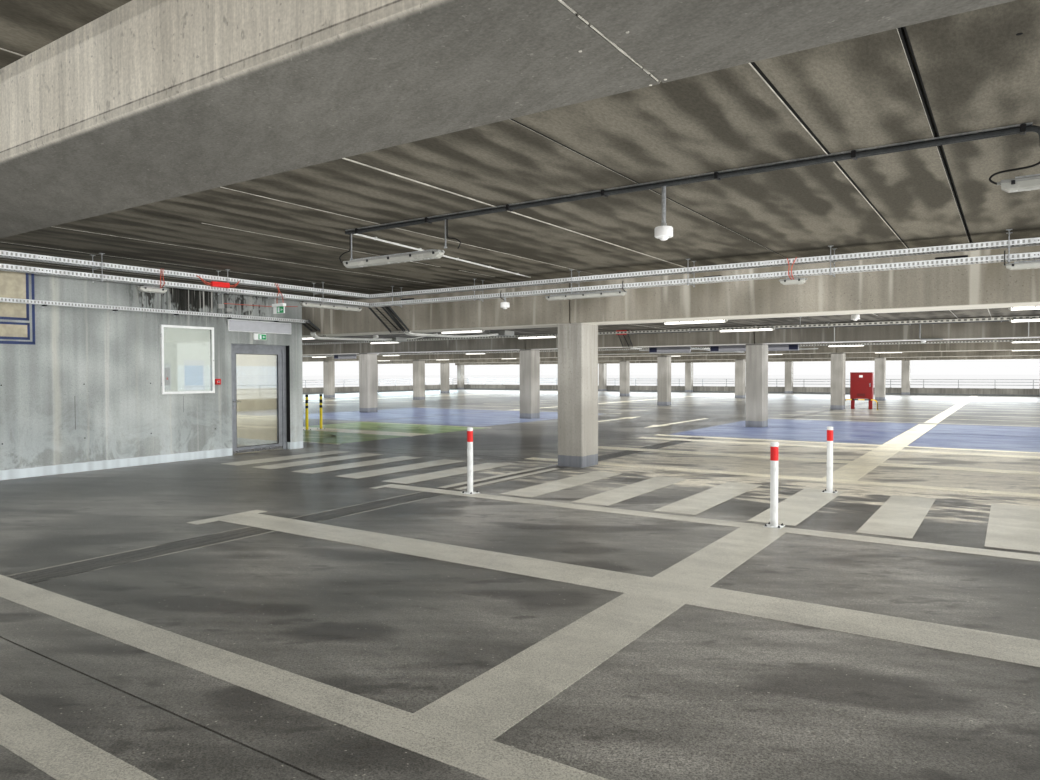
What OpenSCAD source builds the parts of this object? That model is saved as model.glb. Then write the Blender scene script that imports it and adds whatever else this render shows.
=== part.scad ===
// Multi storey car park: three covered storeys and a roof deck on a grid of concrete columns.
// All lengths are those of the real building, in millimetres. model_scale then shrinks the whole.
// X runs across the building, Y runs from the near front to the far front, and Z is up.

/* [Model] */
// Scale of the model against the real building
model_scale = 0.5; // [0.5, 0.1, 0.05]

/* [Grid] */
// Distance between column lines across the building
bay_w = 8000; // [7900:50:8100]
// Length of the two near bays, beside the core
near_bay_l = 9000; // [8950:50:9200]
// Length of the third bay
middle_bay_l = 10800; // [10400:100:11200]
// Length of each of the three far bays
far_bay_l = 12200; // [11800:100:12400]
// Deck past the outer column lines
deck_overhang = 500; // [480:10:560]
// Floor to floor height
storey_h = 3600; // [3500:50:3800]

/* [Columns and beams] */
// Column size across the building
column_w = 500; // [450:10:550]
// Column size along the building, and beam width
column_d = 580; // [500:10:640]
// Floor to underside of the beams
beam_soffit = 2440; // [2400:10:2500]
// Floor to underside of the deck planks
plank_soffit = 3217; // [3150:1:3250]
// Floor to underside of the deeper planks in the long bays
deep_plank_soffit = 2940; // [2920:10:3000]
// Width of the wide beam by the core
wide_beam_w = 980; // [900:10:1020]
// Floor to underside of the wide beam
wide_beam_soffit = 2726; // [2650:1:2800]
// Bevel on the edges of columns and beams
bevel = 20; // [10:1:30]
// Open joint between beam ends
beam_joint = 30; // [20:1:40]

/* [Decks] */
// Width of one deck plank
plank_w = 1520; // [1500:10:1540]
// Thickness of a deck plank
plank_t = 320; // [280:10:320]
// Open joint between planks
plank_joint = 14; // [12:1:24]
// Width of the narrow filler plank
filler_w = 700; // [600:10:800]
// Right deck edge to the left side of the filler plank
filler_from_edge = 3360; // [3300:10:3400]
// Thickness of the ground slab
ground_slab_t = 300; // [250:10:400]
// Width of the movement joint in the floor
floor_joint_w = 400; // [350:10:450]

/* [Edges] */
// Height of the concrete upstand above the floor
upstand_h = 500; // [400:10:600]
// Thickness of the upstand
upstand_t = 180; // [150:10:200]
// Height of the top rail above the floor
rail_top = 1110; // [1000:10:1200]
// Width of rails and posts
rail_w = 40; // [30:1:50]
// Distance between rail posts, about
post_pitch = 2000; // [1500:50:2500]

/* [Core] */
// Column line to the right face of the core
core_past_column = 1540; // [1500:10:1600]
// Core width in whole planks beyond its cut plank
core_w = 6640; // [6600:10:6640]
// Gap between the wide beam and the core
core_front_gap = 60; // [40:10:100]
// Gap between the core and the beam behind it
core_back_gap = 300; // [250:10:350]
// Thickness of the core walls
core_wall_t = 250; // [200:10:300]
// Height of the core above the roof deck, with its roof
core_above_roof = 3100; // [3000:50:3400]
// Thickness of the core floors and roof
core_floor_t = 220; // [200:10:250]

/* [Door] */
// Width of the doorway
doorway_w = 1400; // [1300:10:1450]
// Height of the doorway
doorway_h = 2200; // [2150:10:2250]
// Doorway to the corner of the core
doorway_to_corner = 340; // [320:10:400]
// Depth of the door frame behind the wall face
door_setback = 110; // [90:5:120]
// Width of the frame members
frame_w = 60; // [50:1:70]
// Depth of the frame
frame_d = 70; // [68:1:80]
// Thickness of the door leaf
leaf_t = 50; // [45:1:52]
// Width of the leaf's stiles and rails
stile_w = 90; // [80:1:110]
// Gap round the leaf
leaf_gap = 20; // [20:1:24]
// Lip of the frame that covers the gap
frame_lip = 16; // [12:1:18]
// Height of the door handle
handle_z = 1050; // [1000:10:1100]
// Diameter of the hinge knuckles
knuckle_d = 22; // [18:1:24]
// Diameter of the hinge pins
pin_d = 10; // [8:0.5:12]

/* [Fittings] */
// Length of a luminaire
luminaire_l = 1400; // [1200:10:1600]
// Distance between luminaires along a line
luminaire_pitch = 6200; // [6000:50:6400]
// Floor to underside of the luminaires
luminaire_z = 2790; // [2760:5:2820]
// Width of a cable tray
tray_w = 200; // [150:10:250]
// Side height of a cable tray
tray_h = 60; // [50:5:70]
// Floor to underside of the lower tray
low_tray_z = 2880; // [2880:5:2900]
// Floor to underside of the upper tray
high_tray_z = 3040; // [3030:5:3060]
// Height of the red topped bollards
bollard_h = 830; // [750:10:950]
// Diameter of a bollard
bollard_d = 78; // [70:1:90]

/* [Hidden] */

storeys = 3;
roof = storeys;
bays_x = 6;
surfacing_t = storey_h - plank_soffit - plank_t;
bay_lengths = [near_bay_l, near_bay_l, middle_bay_l, far_bay_l, far_bay_l, far_bay_l];
function total_to(n) = n <= 0 ? 0 : bay_lengths[n - 1] + total_to(n - 1);
rows = len(bay_lengths);
column_x = [for (k = [0:bays_x]) (k - bays_x / 2) * bay_w];
row_y = [for (r = [0:rows]) total_to(r) - total_to(rows) / 2];
edge_x = column_x[bays_x] + deck_overhang;
edge_y = row_y[rows] + deck_overhang;
function floor_z(n) = ground_slab_t + storey_h * n;

// Row that carries the wide beam, and the columns that stand under it
wide_row = 1;
wide_row_columns = [0, 2, 4, 6];
every_column = [for (k = [0:bays_x]) k];

// Joints between planks, from the left deck edge to the right one
filler_x = edge_x - filler_from_edge;
whole_planks = floor((filler_x + edge_x) / plank_w - 0.3);
plank_x = concat(
  [-edge_x],
  [for (k = [whole_planks:-1:0]) filler_x - k * plank_w],
  [filler_x + filler_w, filler_x + filler_w + plank_w, edge_x]
);
// Joints of the wide beam lie on a plank joint, two bays apart
wide_beam_x = [-edge_x, filler_x - 4 * bay_w, filler_x - 2 * bay_w, filler_x, edge_x];

// The core stands in the bay behind the wide beam
core_x1 = column_x[4] + core_past_column;
core_x0 = core_x1 - core_w;
core_y0 = row_y[wide_row] + wide_beam_w / 2 + core_front_gap;
core_y1 = row_y[wide_row + 1] - column_d / 2 - core_back_gap;
core_top = floor_z(roof) + core_above_roof;
core_inner_x0 = core_x0 + core_wall_t;
core_inner_x1 = core_x1 - core_wall_t;
door_y1 = core_y1 - doorway_to_corner;
door_y0 = door_y1 - doorway_w;
slab_top = floor_z(0) - surfacing_t;

// The bays past the core are long, so their planks are deeper
function soffit_in_bay(r) = r > wide_row ? deep_plank_soffit : plank_soffit;

// Gap between upstand panels
panel_joint = 20;

// The movement joint runs along the sixth column line
floor_joint_past_line = 50;
floor_joint_x1 = column_x[5] + floor_joint_past_line;
floor_joint_x0 = floor_joint_x1 - floor_joint_w;
floor_seam = 12;
floor_edge_x = edge_x - upstand_t - floor_seam;
floor_edge_y = edge_y - upstand_t - floor_seam;

// Gap in the near upstand where vehicles drive in
entrance_bay = 4;

// The door leaf lies behind the frame's lip and turns on its far, inner edge
frame_x1 = core_x1 - door_setback;
frame_x0 = frame_x1 - frame_d;
leaf_y0 = door_y0 + frame_w + leaf_gap;
leaf_y1 = door_y1 - frame_w - leaf_gap;
leaf_h = doorway_h - frame_w - 2 * leaf_gap;
glass_t = 24;
leaf_to_lip = 8;
lip_t = frame_d - leaf_t - leaf_to_lip;

// The hinge axis lies before the gap between leaf and frame, on the inner side
hinge_x = frame_x0 - 8;
hinge_y = leaf_y1 + leaf_gap / 2;
hinge_h = 100;
hinge_z = [180, leaf_h / 2, leaf_h - 280];
flap_t = 5;
flap_w = 36;
knuckle_gap = 2;
pin_play = 1.5;

// Glazed case for notices on the wall, near the ground door
case_y0 = door_y0 - 1460;
case_y1 = door_y0 - 410;
case_z0 = 1240;
case_z1 = 2490;
case_t = 60;
case_frame_w = 45;
case_glass_t = 12;

// Lines of luminaires in each bay, measured from the row before it
line_places = [[3600], [3630, 7950], [3750, 7350], [5600, 9900], [5600, 9900], [5600, 9900]];
// How much lower the lines hang under the deeper planks
deep_line_drop = 150;
function line_drop(r) = r > wide_row ? deep_line_drop : 0;
luminaire_h = 90;
luminaire_w = 110;
channel_h = 40;
channel_w = 60;
channel_z = luminaire_z + luminaire_h;
ceiling_channel_z = plank_soffit - channel_h;
channel_end = 200;
rod_w = 20;
bar_h = 20;
luminaire_from_edge = 2290;
first_luminaire_x = edge_x - luminaire_from_edge;
luminaires_in_line = 8;
sensor_from_luminaire = 2380;
sensor_d = 130;
sensor_h = 90;
sensor_z = 2740;
sensor_stem_d = 40;

// Two trays run along the core and turn to run along the beam behind it
tray_run_x = core_x1 + 2500;
tray_run_y = row_y[wide_row + 1] - 1050;
tray_start_y = row_y[wide_row] + wide_beam_w / 2 + 100;
tray_end_x = floor_edge_x - 300;
tray_hanger_pitch = 1900;
under_tray_z = low_tray_z - bar_h;
tray_batten_y = tray_run_y - 1650;
tray_light_y = tray_run_y - 4500;
tray_light_x = tray_run_x + 7650;
tray_light_h = 60;
tray_sensor_x = tray_run_x + 3150;
services_past_core = 2800;
wall_tray_w = 110;
wall_tray_z = 2700;

bollard_places = [
  [column_x[5] + 270, core_y1 - 2840],
  [column_x[5] + 4240, core_y1 - 2830],
  [column_x[5] + 4270, core_y1 - 180]
];
yellow_bollard_places = [
  [column_x[4] - 2380, row_y[2] + 2830],
  [column_x[4] - 2340, row_y[2] + 3310]
];
yellow_bollard_h = bollard_h + 170;

cabinet_low = [column_x[5] + 370, row_y[4] + 700];
cabinet_w = 890;
cabinet_d = 300;

concrete = "darkgray";
light_concrete = "lightgray";
steel = "silver";
asphalt = "dimgray";

module model() {
  scale(model_scale) children();
}

// A box from its lowest to its highest corner
module block(low, high) {
  translate(low) cube(high - low);
}

// A bar along X with bevelled lower edges, cut down to far_z1 on its far half if that is lower
module bevelled_beam(x0, x1, y, w, z0, z1, far_z1) {
  step = far_z1 < z1 ? [[0, far_z1], [0, z1]] : [];
  outline = concat(
    [[-w / 2, z1], [-w / 2, z0 + bevel], [-w / 2 + bevel, z0]],
    [[w / 2 - bevel, z0], [w / 2, z0 + bevel], [w / 2, far_z1]],
    step
  );
  translate([x0, y, 0])
    rotate([90, 0, 90])
      linear_extrude(x1 - x0) polygon(outline);
}

module bevelled_column(x, y, z0, z1) {
  a = column_w / 2;
  b = column_d / 2;
  outline = [
    [-a, -b + bevel], [-a + bevel, -b], [a - bevel, -b], [a, -b + bevel],
    [a, b - bevel], [a - bevel, b], [-a + bevel, b], [-a, b - bevel]
  ];
  translate([x, y, z0]) linear_extrude(z1 - z0) polygon(outline);
}

module columns(n) {
  for (r = [0:rows])
    for (k = r == wide_row ? wide_row_columns : every_column)
      bevelled_column(
        column_x[k], row_y[r], floor_z(n) - surfacing_t,
        floor_z(n) + (r == wide_row ? wide_beam_soffit : beam_soffit)
      );
}

module beams(n) {
  for (r = [0:rows])
    if (r != wide_row)
      for (k = [0:bays_x - 1]) {
        x0 = k == 0 ? -edge_x : column_x[k] + beam_joint / 2;
        x1 = k == bays_x - 1 ? edge_x : column_x[k + 1] - beam_joint / 2;
        bevelled_beam(
          x0, x1, row_y[r], column_d, floor_z(n) + beam_soffit,
          floor_z(n) + soffit_in_bay(max(r - 1, 0)), floor_z(n) + soffit_in_bay(r)
        );
      }
}

module deck_planks(n) {
  z1 = floor_z(n) - surfacing_t;
  half = plank_joint / 2;
  for (r = [0:rows - 1]) {
    z0 = floor_z(n - 1) + soffit_in_bay(r);
    y0 = r == 0 ? -edge_y : row_y[r] + half;
    y1 = r == rows - 1 ? edge_y : row_y[r + 1] - half;
    for (k = [0:len(plank_x) - 2]) {
      inside = r == wide_row && plank_x[k] >= core_x0 - 1 && plank_x[k + 1] <= core_x1;
      cut = r == wide_row && plank_x[k] < core_x1 && plank_x[k + 1] > core_x1;
      x0 = cut ? core_x1 : plank_x[k];
      if (!inside)
        block([x0 + half, y0, z0], [plank_x[k + 1] - half, y1, z1]);
    }
    if (r == wide_row) {
      block([core_x0 + half, y0, z0], [core_x1 - half, core_y0 - half, z1]);
      block([core_x0 + half, core_y1 + half, z0], [core_x1 - half, y1, z1]);
    }
  }
}

// Floor finish: one plate a bay on each side of the movement joint, and strips between the columns
module surfacing(n) {
  z0 = floor_z(n) - surfacing_t;
  z1 = floor_z(n);
  s = floor_seam / 2;
  for (r = [0:rows - 1]) {
    y0 = row_y[r] + column_d / 2 + s;
    y1 = row_y[r + 1] - column_d / 2 - s;
    if (r == wide_row) {
      block([-floor_edge_x, y0, z0], [core_x0 - s, y1, z1]);
      block([core_x1 + s, y0, z0], [floor_joint_x0 - s, y1, z1]);
      block([core_x0 + s, y0, z0], [core_x1 - s, core_y0 - s, z1]);
      block([core_x0 + s, core_y1 + s, z0], [core_x1 - s, y1, z1]);
      block([core_inner_x1 + s, door_y0 + s, z0], [core_x1 - s, door_y1 - s, z1]);
    } else {
      block([-floor_edge_x, y0, z0], [floor_joint_x0 - s, y1, z1]);
    }
    block([floor_joint_x0 + s, y0, z0], [floor_joint_x1 - s, y1, z1]);
    block([floor_joint_x1 + s, y0, z0], [floor_edge_x, y1, z1]);
  }
  for (r = [0:rows])
    row_strips(n, r, z0, z1);
}

module row_strips(n, r, z0, z1) {
  s = floor_seam / 2;
  y0 = r == 0 ? -floor_edge_y : row_y[r] - column_d / 2 + s;
  y1 = r == rows ? floor_edge_y : row_y[r] + column_d / 2 - s;
  standing = r == wide_row ? wide_row_columns : every_column;
  if (n == roof)
    block([-floor_edge_x, y0, z0], [floor_edge_x, y1, z1]);
  else
    for (k = [0:len(standing) - 2])
      block(
        [column_x[standing[k]] + column_w / 2 + s, y0, z0],
        [column_x[standing[k + 1]] - column_w / 2 - s, y1, z1]
      );
}

// Places a panel outline along each bay of the four sides, x along the bay and y towards the outside
module round_the_edge(skip_entrance) {
  for (k = [0:bays_x - 1]) {
    span = column_x[k + 1] - column_x[k];
    middle = (column_x[k] + column_x[k + 1]) / 2;
    ends = k == 0 || k == bays_x - 1 ? deck_overhang : 0;
    shift = k == 0 ? -ends / 2 : ends / 2;
    translate([middle + shift, edge_y, 0]) let($bay_l = span + ends) children();
    if (!(skip_entrance && k == entrance_bay))
      translate([middle + shift, -edge_y, 0]) rotate(180) let($bay_l = span + ends) children();
  }
  for (r = [0:rows - 1]) {
    span = row_y[r + 1] - row_y[r];
    middle = (row_y[r] + row_y[r + 1]) / 2;
    ends = r == 0 || r == rows - 1 ? deck_overhang - upstand_t - panel_joint : 0;
    shift = r == 0 ? -ends / 2 : ends / 2;
    translate([edge_x, middle + shift, 0]) rotate(-90) let($bay_l = span + ends) children();
    translate([-edge_x, middle + shift, 0]) rotate(90) let($bay_l = span + ends) children();
  }
}

module upstands(n) {
  round_the_edge(n == 0)
    block(
      [-$bay_l / 2 + panel_joint / 2, -upstand_t, floor_z(n) - surfacing_t],
      [$bay_l / 2 - panel_joint / 2, 0, floor_z(n) + upstand_h]
    );
}

// Posts on the upstand with a top rail and two lower rails
module guard_rails(n) {
  z0 = floor_z(n) + upstand_h;
  rail_z = [rail_top - rail_w, upstand_h + 400, upstand_h + 200];
  round_the_edge(n == 0) {
    long = $bay_l - 2 * panel_joint;
    posts = round(long / post_pitch);
    y = -upstand_t / 2;
    for (z = rail_z)
      block([-long / 2, y - rail_w / 2, floor_z(n) + z], [long / 2, y + rail_w / 2, floor_z(n) + z + rail_w]);
    for (i = [0:posts - 1]) {
      x = (i + 0.5) * long / posts - long / 2;
      block([x - rail_w / 2, y - rail_w / 2, z0], [x + rail_w / 2, y + rail_w / 2, floor_z(n) + rail_top]);
    }
  }
}

module door_frame(n) {
  z0 = floor_z(n);
  clear_y0 = door_y0 + frame_w;
  clear_y1 = door_y1 - frame_w;
  clear_z = doorway_h - frame_w;
  lip = leaf_gap + frame_lip;
  difference() {
    block([frame_x0, door_y0, z0], [frame_x1, door_y1, z0 + doorway_h]);
    block([frame_x0 - 1, clear_y0, z0 - 1], [frame_x1 - lip_t, clear_y1, z0 + clear_z]);
    block([frame_x0 - 1, clear_y0 + lip, z0 - 1], [frame_x1 + 1, clear_y1 - lip, z0 + clear_z - lip]);
  }
}

// Aluminium leaf with one large pane
module door_leaf(n) {
  z0 = floor_z(n) + leaf_gap;
  difference() {
    block([frame_x0, leaf_y0, z0], [frame_x0 + leaf_t, leaf_y1, z0 + leaf_h]);
    block(
      [frame_x0 - 1, leaf_y0 + stile_w, z0 + stile_w],
      [frame_x0 + leaf_t + 1, leaf_y1 - stile_w, z0 + leaf_h - stile_w]
    );
  }
}

module door_glass(n) {
  z0 = floor_z(n) + leaf_gap;
  x = frame_x0 + leaf_t / 2;
  block(
    [x - glass_t / 2, leaf_y0 + stile_w, z0 + stile_w],
    [x + glass_t / 2, leaf_y1 - stile_w, z0 + leaf_h - stile_w]
  );
}

// Lever handle on each face, on the stile away from the hinges
module door_handles(n) {
  stem_d = 22;
  stem_l = 55;
  lever_l = 130;
  y = leaf_y0 + stile_w / 2;
  for (side = [[frame_x0 + leaf_t, 1], [frame_x0, -1]])
    translate([side[0], y, floor_z(n) + handle_z])
      rotate([0, side[1] * 90, 0]) {
        cylinder(h = 8, d = 52, $fn = 48);
        cylinder(h = stem_l, d = stem_d, $fn = 48);
        translate([0, 0, stem_l - stem_d / 2])
          rotate([-90, 0, 0]) cylinder(h = lever_l, d = stem_d, $fn = 48);
      }
}

// Calls its children for each of the three hinges, at the foot of its barrel
module at_each_hinge(n) {
  for (z = hinge_z)
    translate([hinge_x, hinge_y, floor_z(n) + leaf_gap + z]) children();
}

// Fixed half: flap on the frame, two knuckles, and the pin through all three
module hinge_pin_half() {
  end_h = hinge_h / 4;
  back = frame_x0 - hinge_x;
  cylinder(h = hinge_h, d = pin_d, $fn = 48);
  for (z = [0, hinge_h - end_h])
    translate([0, 0, z]) {
      cylinder(h = end_h, d = knuckle_d, $fn = 48);
      block([back - flap_t, 0, 0], [back, flap_w, end_h]);
    }
}

// Moving half: flap on the leaf and the middle knuckle, bored for the pin
module hinge_knuckle_half() {
  z0 = hinge_h / 4 + knuckle_gap;
  z1 = hinge_h * 3 / 4 - knuckle_gap;
  back = frame_x0 - hinge_x;
  translate([0, 0, z0])
    difference() {
      union() {
        cylinder(h = z1 - z0, d = knuckle_d, $fn = 48);
        block([back - flap_t, -flap_w, 0], [back, 0, z1 - z0]);
      }
      translate([0, 0, -1]) cylinder(h = z1 - z0 + 2, d = pin_d + pin_play, $fn = 48);
    }
}

module notice_case_body() {
  low = [core_x1, case_y0, floor_z(0) + case_z0];
  high = [core_x1 + case_t, case_y1, floor_z(0) + case_z1];
  w = case_frame_w;
  difference() {
    block(low, high);
    block(low + [16, w, w], high + [1, -w, -w]);
  }
}

// Sign board over each door, and a small lit exit sign under it on the ground storey
module door_signs() {
  for (n = [0:roof])
    block(
      [core_x1, door_y0 - 80, floor_z(n) + 2440],
      [core_x1 + 40, door_y1 + 170, floor_z(n) + 2670]
    );
  for (n = [0:roof])
    block(
      [core_x1, door_y0 + 540, floor_z(n) + 2300],
      [core_x1 + 35, door_y0 + 820, floor_z(n) + 2420]
    );
}

// Small sign across the aisle, hung from a bar under the lower tray
module hanging_exit_signs() {
  sign_l = 290;
  sign_h = 160;
  z0 = 2600;
  stem = 12;
  for (n = [0:storeys - 1])
    translate([tray_run_x, door_y0 - 960, floor_z(n)]) {
      block([20, -15, z0], [20 + sign_l, 15, z0 + sign_h]);
      for (x = [60, sign_l - 40])
        block([x, -stem / 2, z0 + sign_h], [x + stem, stem / 2, under_tray_z]);
      block([-tray_w / 2, -bar_h / 2, under_tray_z], [sign_l, bar_h / 2, low_tray_z]);
    }
}

function is_by_core(r, x) = r == wide_row && x < core_x1 + services_past_core;
function line_y(r, i) = row_y[r] + line_places[r][i];
function luminaire_x(k) = first_luminaire_x - k * luminaire_pitch;

module in_every_line() {
  for (n = [0:storeys - 1])
    for (r = [0:rows - 1])
      for (i = [0:len(line_places[r]) - 1])
        translate([0, line_y(r, i), floor_z(n)])
          let($row = r, $line = i) children();
}

// Battens along the lines, and under the trays a batten and two small lights
module all_luminaires() {
  in_every_line()
    for (k = [0:luminaires_in_line - 1]) {
      x = luminaire_x(k);
      under_tray = $row == wide_row && $line > 0 && x > core_x1;
      z = under_tray ? under_tray_z - luminaire_h : luminaire_z - line_drop($row);
      beside = is_by_core($row, x) && x > core_x0 - luminaire_l;
      if (!beside && x > -floor_edge_x)
        block([x, -luminaire_w / 2, z], [x + luminaire_l, luminaire_w / 2, z + luminaire_h]);
    }
  for (n = [0:storeys - 1]) {
    translate([tray_run_x, tray_batten_y, floor_z(n) + under_tray_z - luminaire_h])
      block([-luminaire_w / 2, 0, 0], [luminaire_w / 2, luminaire_l, luminaire_h]);
    translate([tray_run_x, tray_light_y, floor_z(n) + under_tray_z - luminaire_h])
      block([-luminaire_w / 2, 0, 0], [luminaire_w / 2, 400, luminaire_h]);
    translate([tray_light_x, tray_run_y, floor_z(n) + under_tray_z - tray_light_h])
      block([0, -luminaire_w / 2, 0], [320, luminaire_w / 2, tray_light_h]);
  }
}

// Short white cylinders on stems, one every second luminaire
module sensor(z, stem_top) {
  translate([0, 0, z]) {
    sphere(d = 80, $fn = 32);
    cylinder(h = sensor_h, d = sensor_d, $fn = 48);
    cylinder(h = stem_top - z, d = sensor_stem_d, $fn = 32);
  }
}

module all_sensors() {
  for (n = [0:storeys - 1]) {
    for (r = [wide_row:rows - 1])
      for (k = [0:2:luminaires_in_line - 1]) {
        x = luminaire_x(k) - sensor_from_luminaire;
        high = r == wide_row && x > core_x1;
        if (!(is_by_core(r, x) && x > core_x0 - 800))
          translate([x, line_y(r, 0), floor_z(n)])
            sensor(sensor_z - line_drop(r), high ? ceiling_channel_z : channel_z - line_drop(r));
      }
    translate([tray_sensor_x, tray_run_y, floor_z(n)])
      sensor(sensor_z - 40, low_tray_z);
  }
}

// A channel along X, with rods up to the deck planks of bay r
module hung_channel(x0, x1, r) {
  z = channel_z - line_drop(r);
  count = round((x1 - x0) / luminaire_pitch);
  block([x0, -channel_w / 2, z], [x1, channel_w / 2, z + channel_h]);
  for (i = [0:count]) {
    x = x0 + channel_end / 2 + i * (x1 - x0 - channel_end) / count;
    block([x, -rod_w / 2, z + channel_h], [x + rod_w, rod_w / 2, soffit_in_bay(r)]);
  }
}

// A channel fixed to the ceiling, with two rods down to each luminaire
module ceiling_channel(x0, x1) {
  block([x0, -channel_w / 2, ceiling_channel_z], [x1, channel_w / 2, plank_soffit]);
  for (k = [0:luminaires_in_line - 1])
    for (x = [luminaire_x(k) + 20, luminaire_x(k) + luminaire_l - 120])
      if (x >= x0 && x < x1 - rod_w)
        block([x, -rod_w / 2, channel_z], [x + rod_w, rod_w / 2, ceiling_channel_z]);
}

module all_hangers() {
  left = -floor_edge_x + channel_end;
  right = floor_edge_x - channel_end;
  in_every_line()
    if ($row != wide_row)
      hung_channel(left, right, $row);
  for (n = [0:storeys - 1]) {
    translate([0, line_y(wide_row, 0), floor_z(n)]) {
      ceiling_channel(luminaire_x(1), right);
      hung_channel(left, core_x0 - 600, wide_row);
    }
    translate([0, line_y(wide_row, 1), floor_z(n)])
      hung_channel(left, core_x0 - 600, wide_row);
    tray_hangers(n);
  }
}

// Two rods and two cross bars at each place where the trays hang
module tray_hangers(n) {
  first_x = tray_run_x + 700;
  first_y = tray_start_y + 400;
  for (x = [first_x:tray_hanger_pitch:tray_end_x - 100])
    translate([x, tray_run_y, floor_z(n)]) tray_hanger();
  for (y = [first_y:tray_hanger_pitch:tray_run_y - 600])
    translate([tray_run_x, y, floor_z(n)]) rotate(90) tray_hanger();
}

module tray_hanger() {
  side = tray_w / 2 + 10;
  for (y = [-side - rod_w, side])
    block([-rod_w / 2, y, under_tray_z], [rod_w / 2, y + rod_w, plank_soffit]);
  for (z = [low_tray_z, high_tray_z])
    block([-bar_h / 2, -side, z - bar_h], [bar_h / 2, side, z]);
}

// A tray along X with its open side up
module tray(length, w) {
  t = 6;
  rotate([90, 0, 90])
    linear_extrude(length)
      difference() {
        translate([-w / 2, 0]) square([w, tray_h]);
        translate([-w / 2 + t, t]) square([w - 2 * t, tray_h]);
      }
}

module all_trays() {
  corner = tray_w / 2 + 10;
  for (n = [0:storeys - 1]) {
    for (z = [low_tray_z, high_tray_z]) {
      translate([tray_run_x, tray_start_y, floor_z(n) + z])
        rotate(90) tray(tray_run_y - corner - tray_start_y, tray_w);
      translate([tray_run_x - tray_w / 2, tray_run_y, floor_z(n) + z])
        tray(tray_end_x - tray_run_x + tray_w / 2, tray_w);
    }
    translate([core_x1 + wall_tray_w / 2, core_y0 + 200, floor_z(n) + wall_tray_z])
      rotate(90) tray(core_y1 - core_y0 - 210, wall_tray_w);
    translate([core_x0, core_y1 + wall_tray_w / 2, floor_z(n) + wall_tray_z])
      tray(core_w + wall_tray_w, wall_tray_w);
  }
}

module bollard(h) {
  plate = 150;
  translate([0, 0, floor_z(0)]) {
    cylinder(h = h, d = bollard_d, $fn = 48);
    translate([-plate / 2, -plate / 2, 0]) cube([plate, plate, 8]);
  }
}

module hydrant_cabinet(n) {
  leg = 60;
  leg_h = 450;
  top = 1600;
  translate([cabinet_low[0], cabinet_low[1], floor_z(n)]) {
    block([0, 0, leg_h], [cabinet_w, cabinet_d, top]);
    for (x = [60, cabinet_w - 60 - leg])
      block([x, cabinet_d / 2 - leg / 2, 0], [x + leg, cabinet_d / 2 + leg / 2, leg_h]);
  }
}

// Low bent tube in front of the cabinet
module guard_hoop(n) {
  tube_d = 48;
  hoop_h = 420;
  hoop_l = cabinet_w + 480;
  bend = 180;
  translate([cabinet_low[0] + cabinet_w / 2 - hoop_l / 2, cabinet_low[1] - 250, floor_z(n)]) {
    cylinder(h = hoop_h - bend, d = tube_d, $fn = 32);
    translate([hoop_l, 0, 0]) cylinder(h = hoop_h - bend, d = tube_d, $fn = 32);
    translate([bend, 0, hoop_h])
      rotate([0, 90, 0]) cylinder(h = hoop_l - 2 * bend, d = tube_d, $fn = 32);
    for (side = [[bend, 180], [hoop_l - bend, 90]])
      translate([side[0], 0, hoop_h - bend])
        rotate([90, side[1] - 90, 0]) rotate([0, 0, side[1] == 180 ? 180 : 0])
          rotate_extrude(angle = 90, $fn = 48) translate([bend, 0]) circle(d = tube_d, $fn = 32);
  }
}

module ground_slab() {
  color(concrete) model() block([-edge_x, -edge_y, 0], [edge_x, edge_y, slab_top]);
}
module ground_surfacing() { color(asphalt) model() surfacing(0); }
module ground_columns() { color(light_concrete) model() columns(0); }
module first_floor_columns() { color(light_concrete) model() columns(1); }
module second_floor_columns() { color(light_concrete) model() columns(2); }
module ground_beams() { color(concrete) model() beams(0); }
module first_floor_beams() { color(concrete) model() beams(1); }
module second_floor_beams() { color(concrete) model() beams(2); }

module wide_beams() {
  color(concrete) model()
    for (n = [0:storeys - 1])
      for (k = [0:len(wide_beam_x) - 2]) {
        x0 = wide_beam_x[k] + (k == 0 ? 0 : beam_joint / 4);
        x1 = wide_beam_x[k + 1] - (k == len(wide_beam_x) - 2 ? 0 : beam_joint / 4);
        bevelled_beam(
          x0, x1, row_y[wide_row], wide_beam_w, floor_z(n) + wide_beam_soffit,
          floor_z(n) + plank_soffit, floor_z(n) + plank_soffit
        );
      }
}

module first_deck_planks() { color(concrete) model() deck_planks(1); }
module second_deck_planks() { color(concrete) model() deck_planks(2); }
module roof_deck_planks() { color(concrete) model() deck_planks(3); }
module first_deck_surfacing() { color(asphalt) model() surfacing(1); }
module second_deck_surfacing() { color(asphalt) model() surfacing(2); }
module roof_deck_surfacing() { color(asphalt) model() surfacing(3); }
module ground_upstands() { color(light_concrete) model() upstands(0); }
module first_floor_upstands() { color(light_concrete) model() upstands(1); }
module second_floor_upstands() { color(light_concrete) model() upstands(2); }
module roof_upstands() { color(light_concrete) model() upstands(3); }
module ground_guard_rails() { color(steel) model() guard_rails(0); }
module first_floor_guard_rails() { color(steel) model() guard_rails(1); }
module second_floor_guard_rails() { color(steel) model() guard_rails(2); }
module roof_guard_rails() { color(steel) model() guard_rails(3); }

module core_wall_beside_doors() {
  color(light_concrete) model()
    block([core_inner_x1, core_y0, slab_top], [core_x1, door_y0, core_top - core_floor_t]);
}

module core_corner_strip() {
  color(light_concrete) model()
    block([core_inner_x1, door_y1, slab_top], [core_x1, core_y1, core_top - core_floor_t]);
}

module core_walls_over_doors() {
  color(light_concrete) model()
    for (n = [0:roof])
      block(
        [core_inner_x1, door_y0, floor_z(n) + doorway_h],
        [core_x1, door_y1, n == roof ? core_top - core_floor_t : floor_z(n + 1) - surfacing_t]
      );
}

module core_end_walls() {
  color(light_concrete) model() {
    for (y = [core_y0, core_y1 - core_wall_t])
      block([core_inner_x0, y, slab_top], [core_inner_x1, y + core_wall_t, core_top - core_floor_t]);
  }
}

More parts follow.
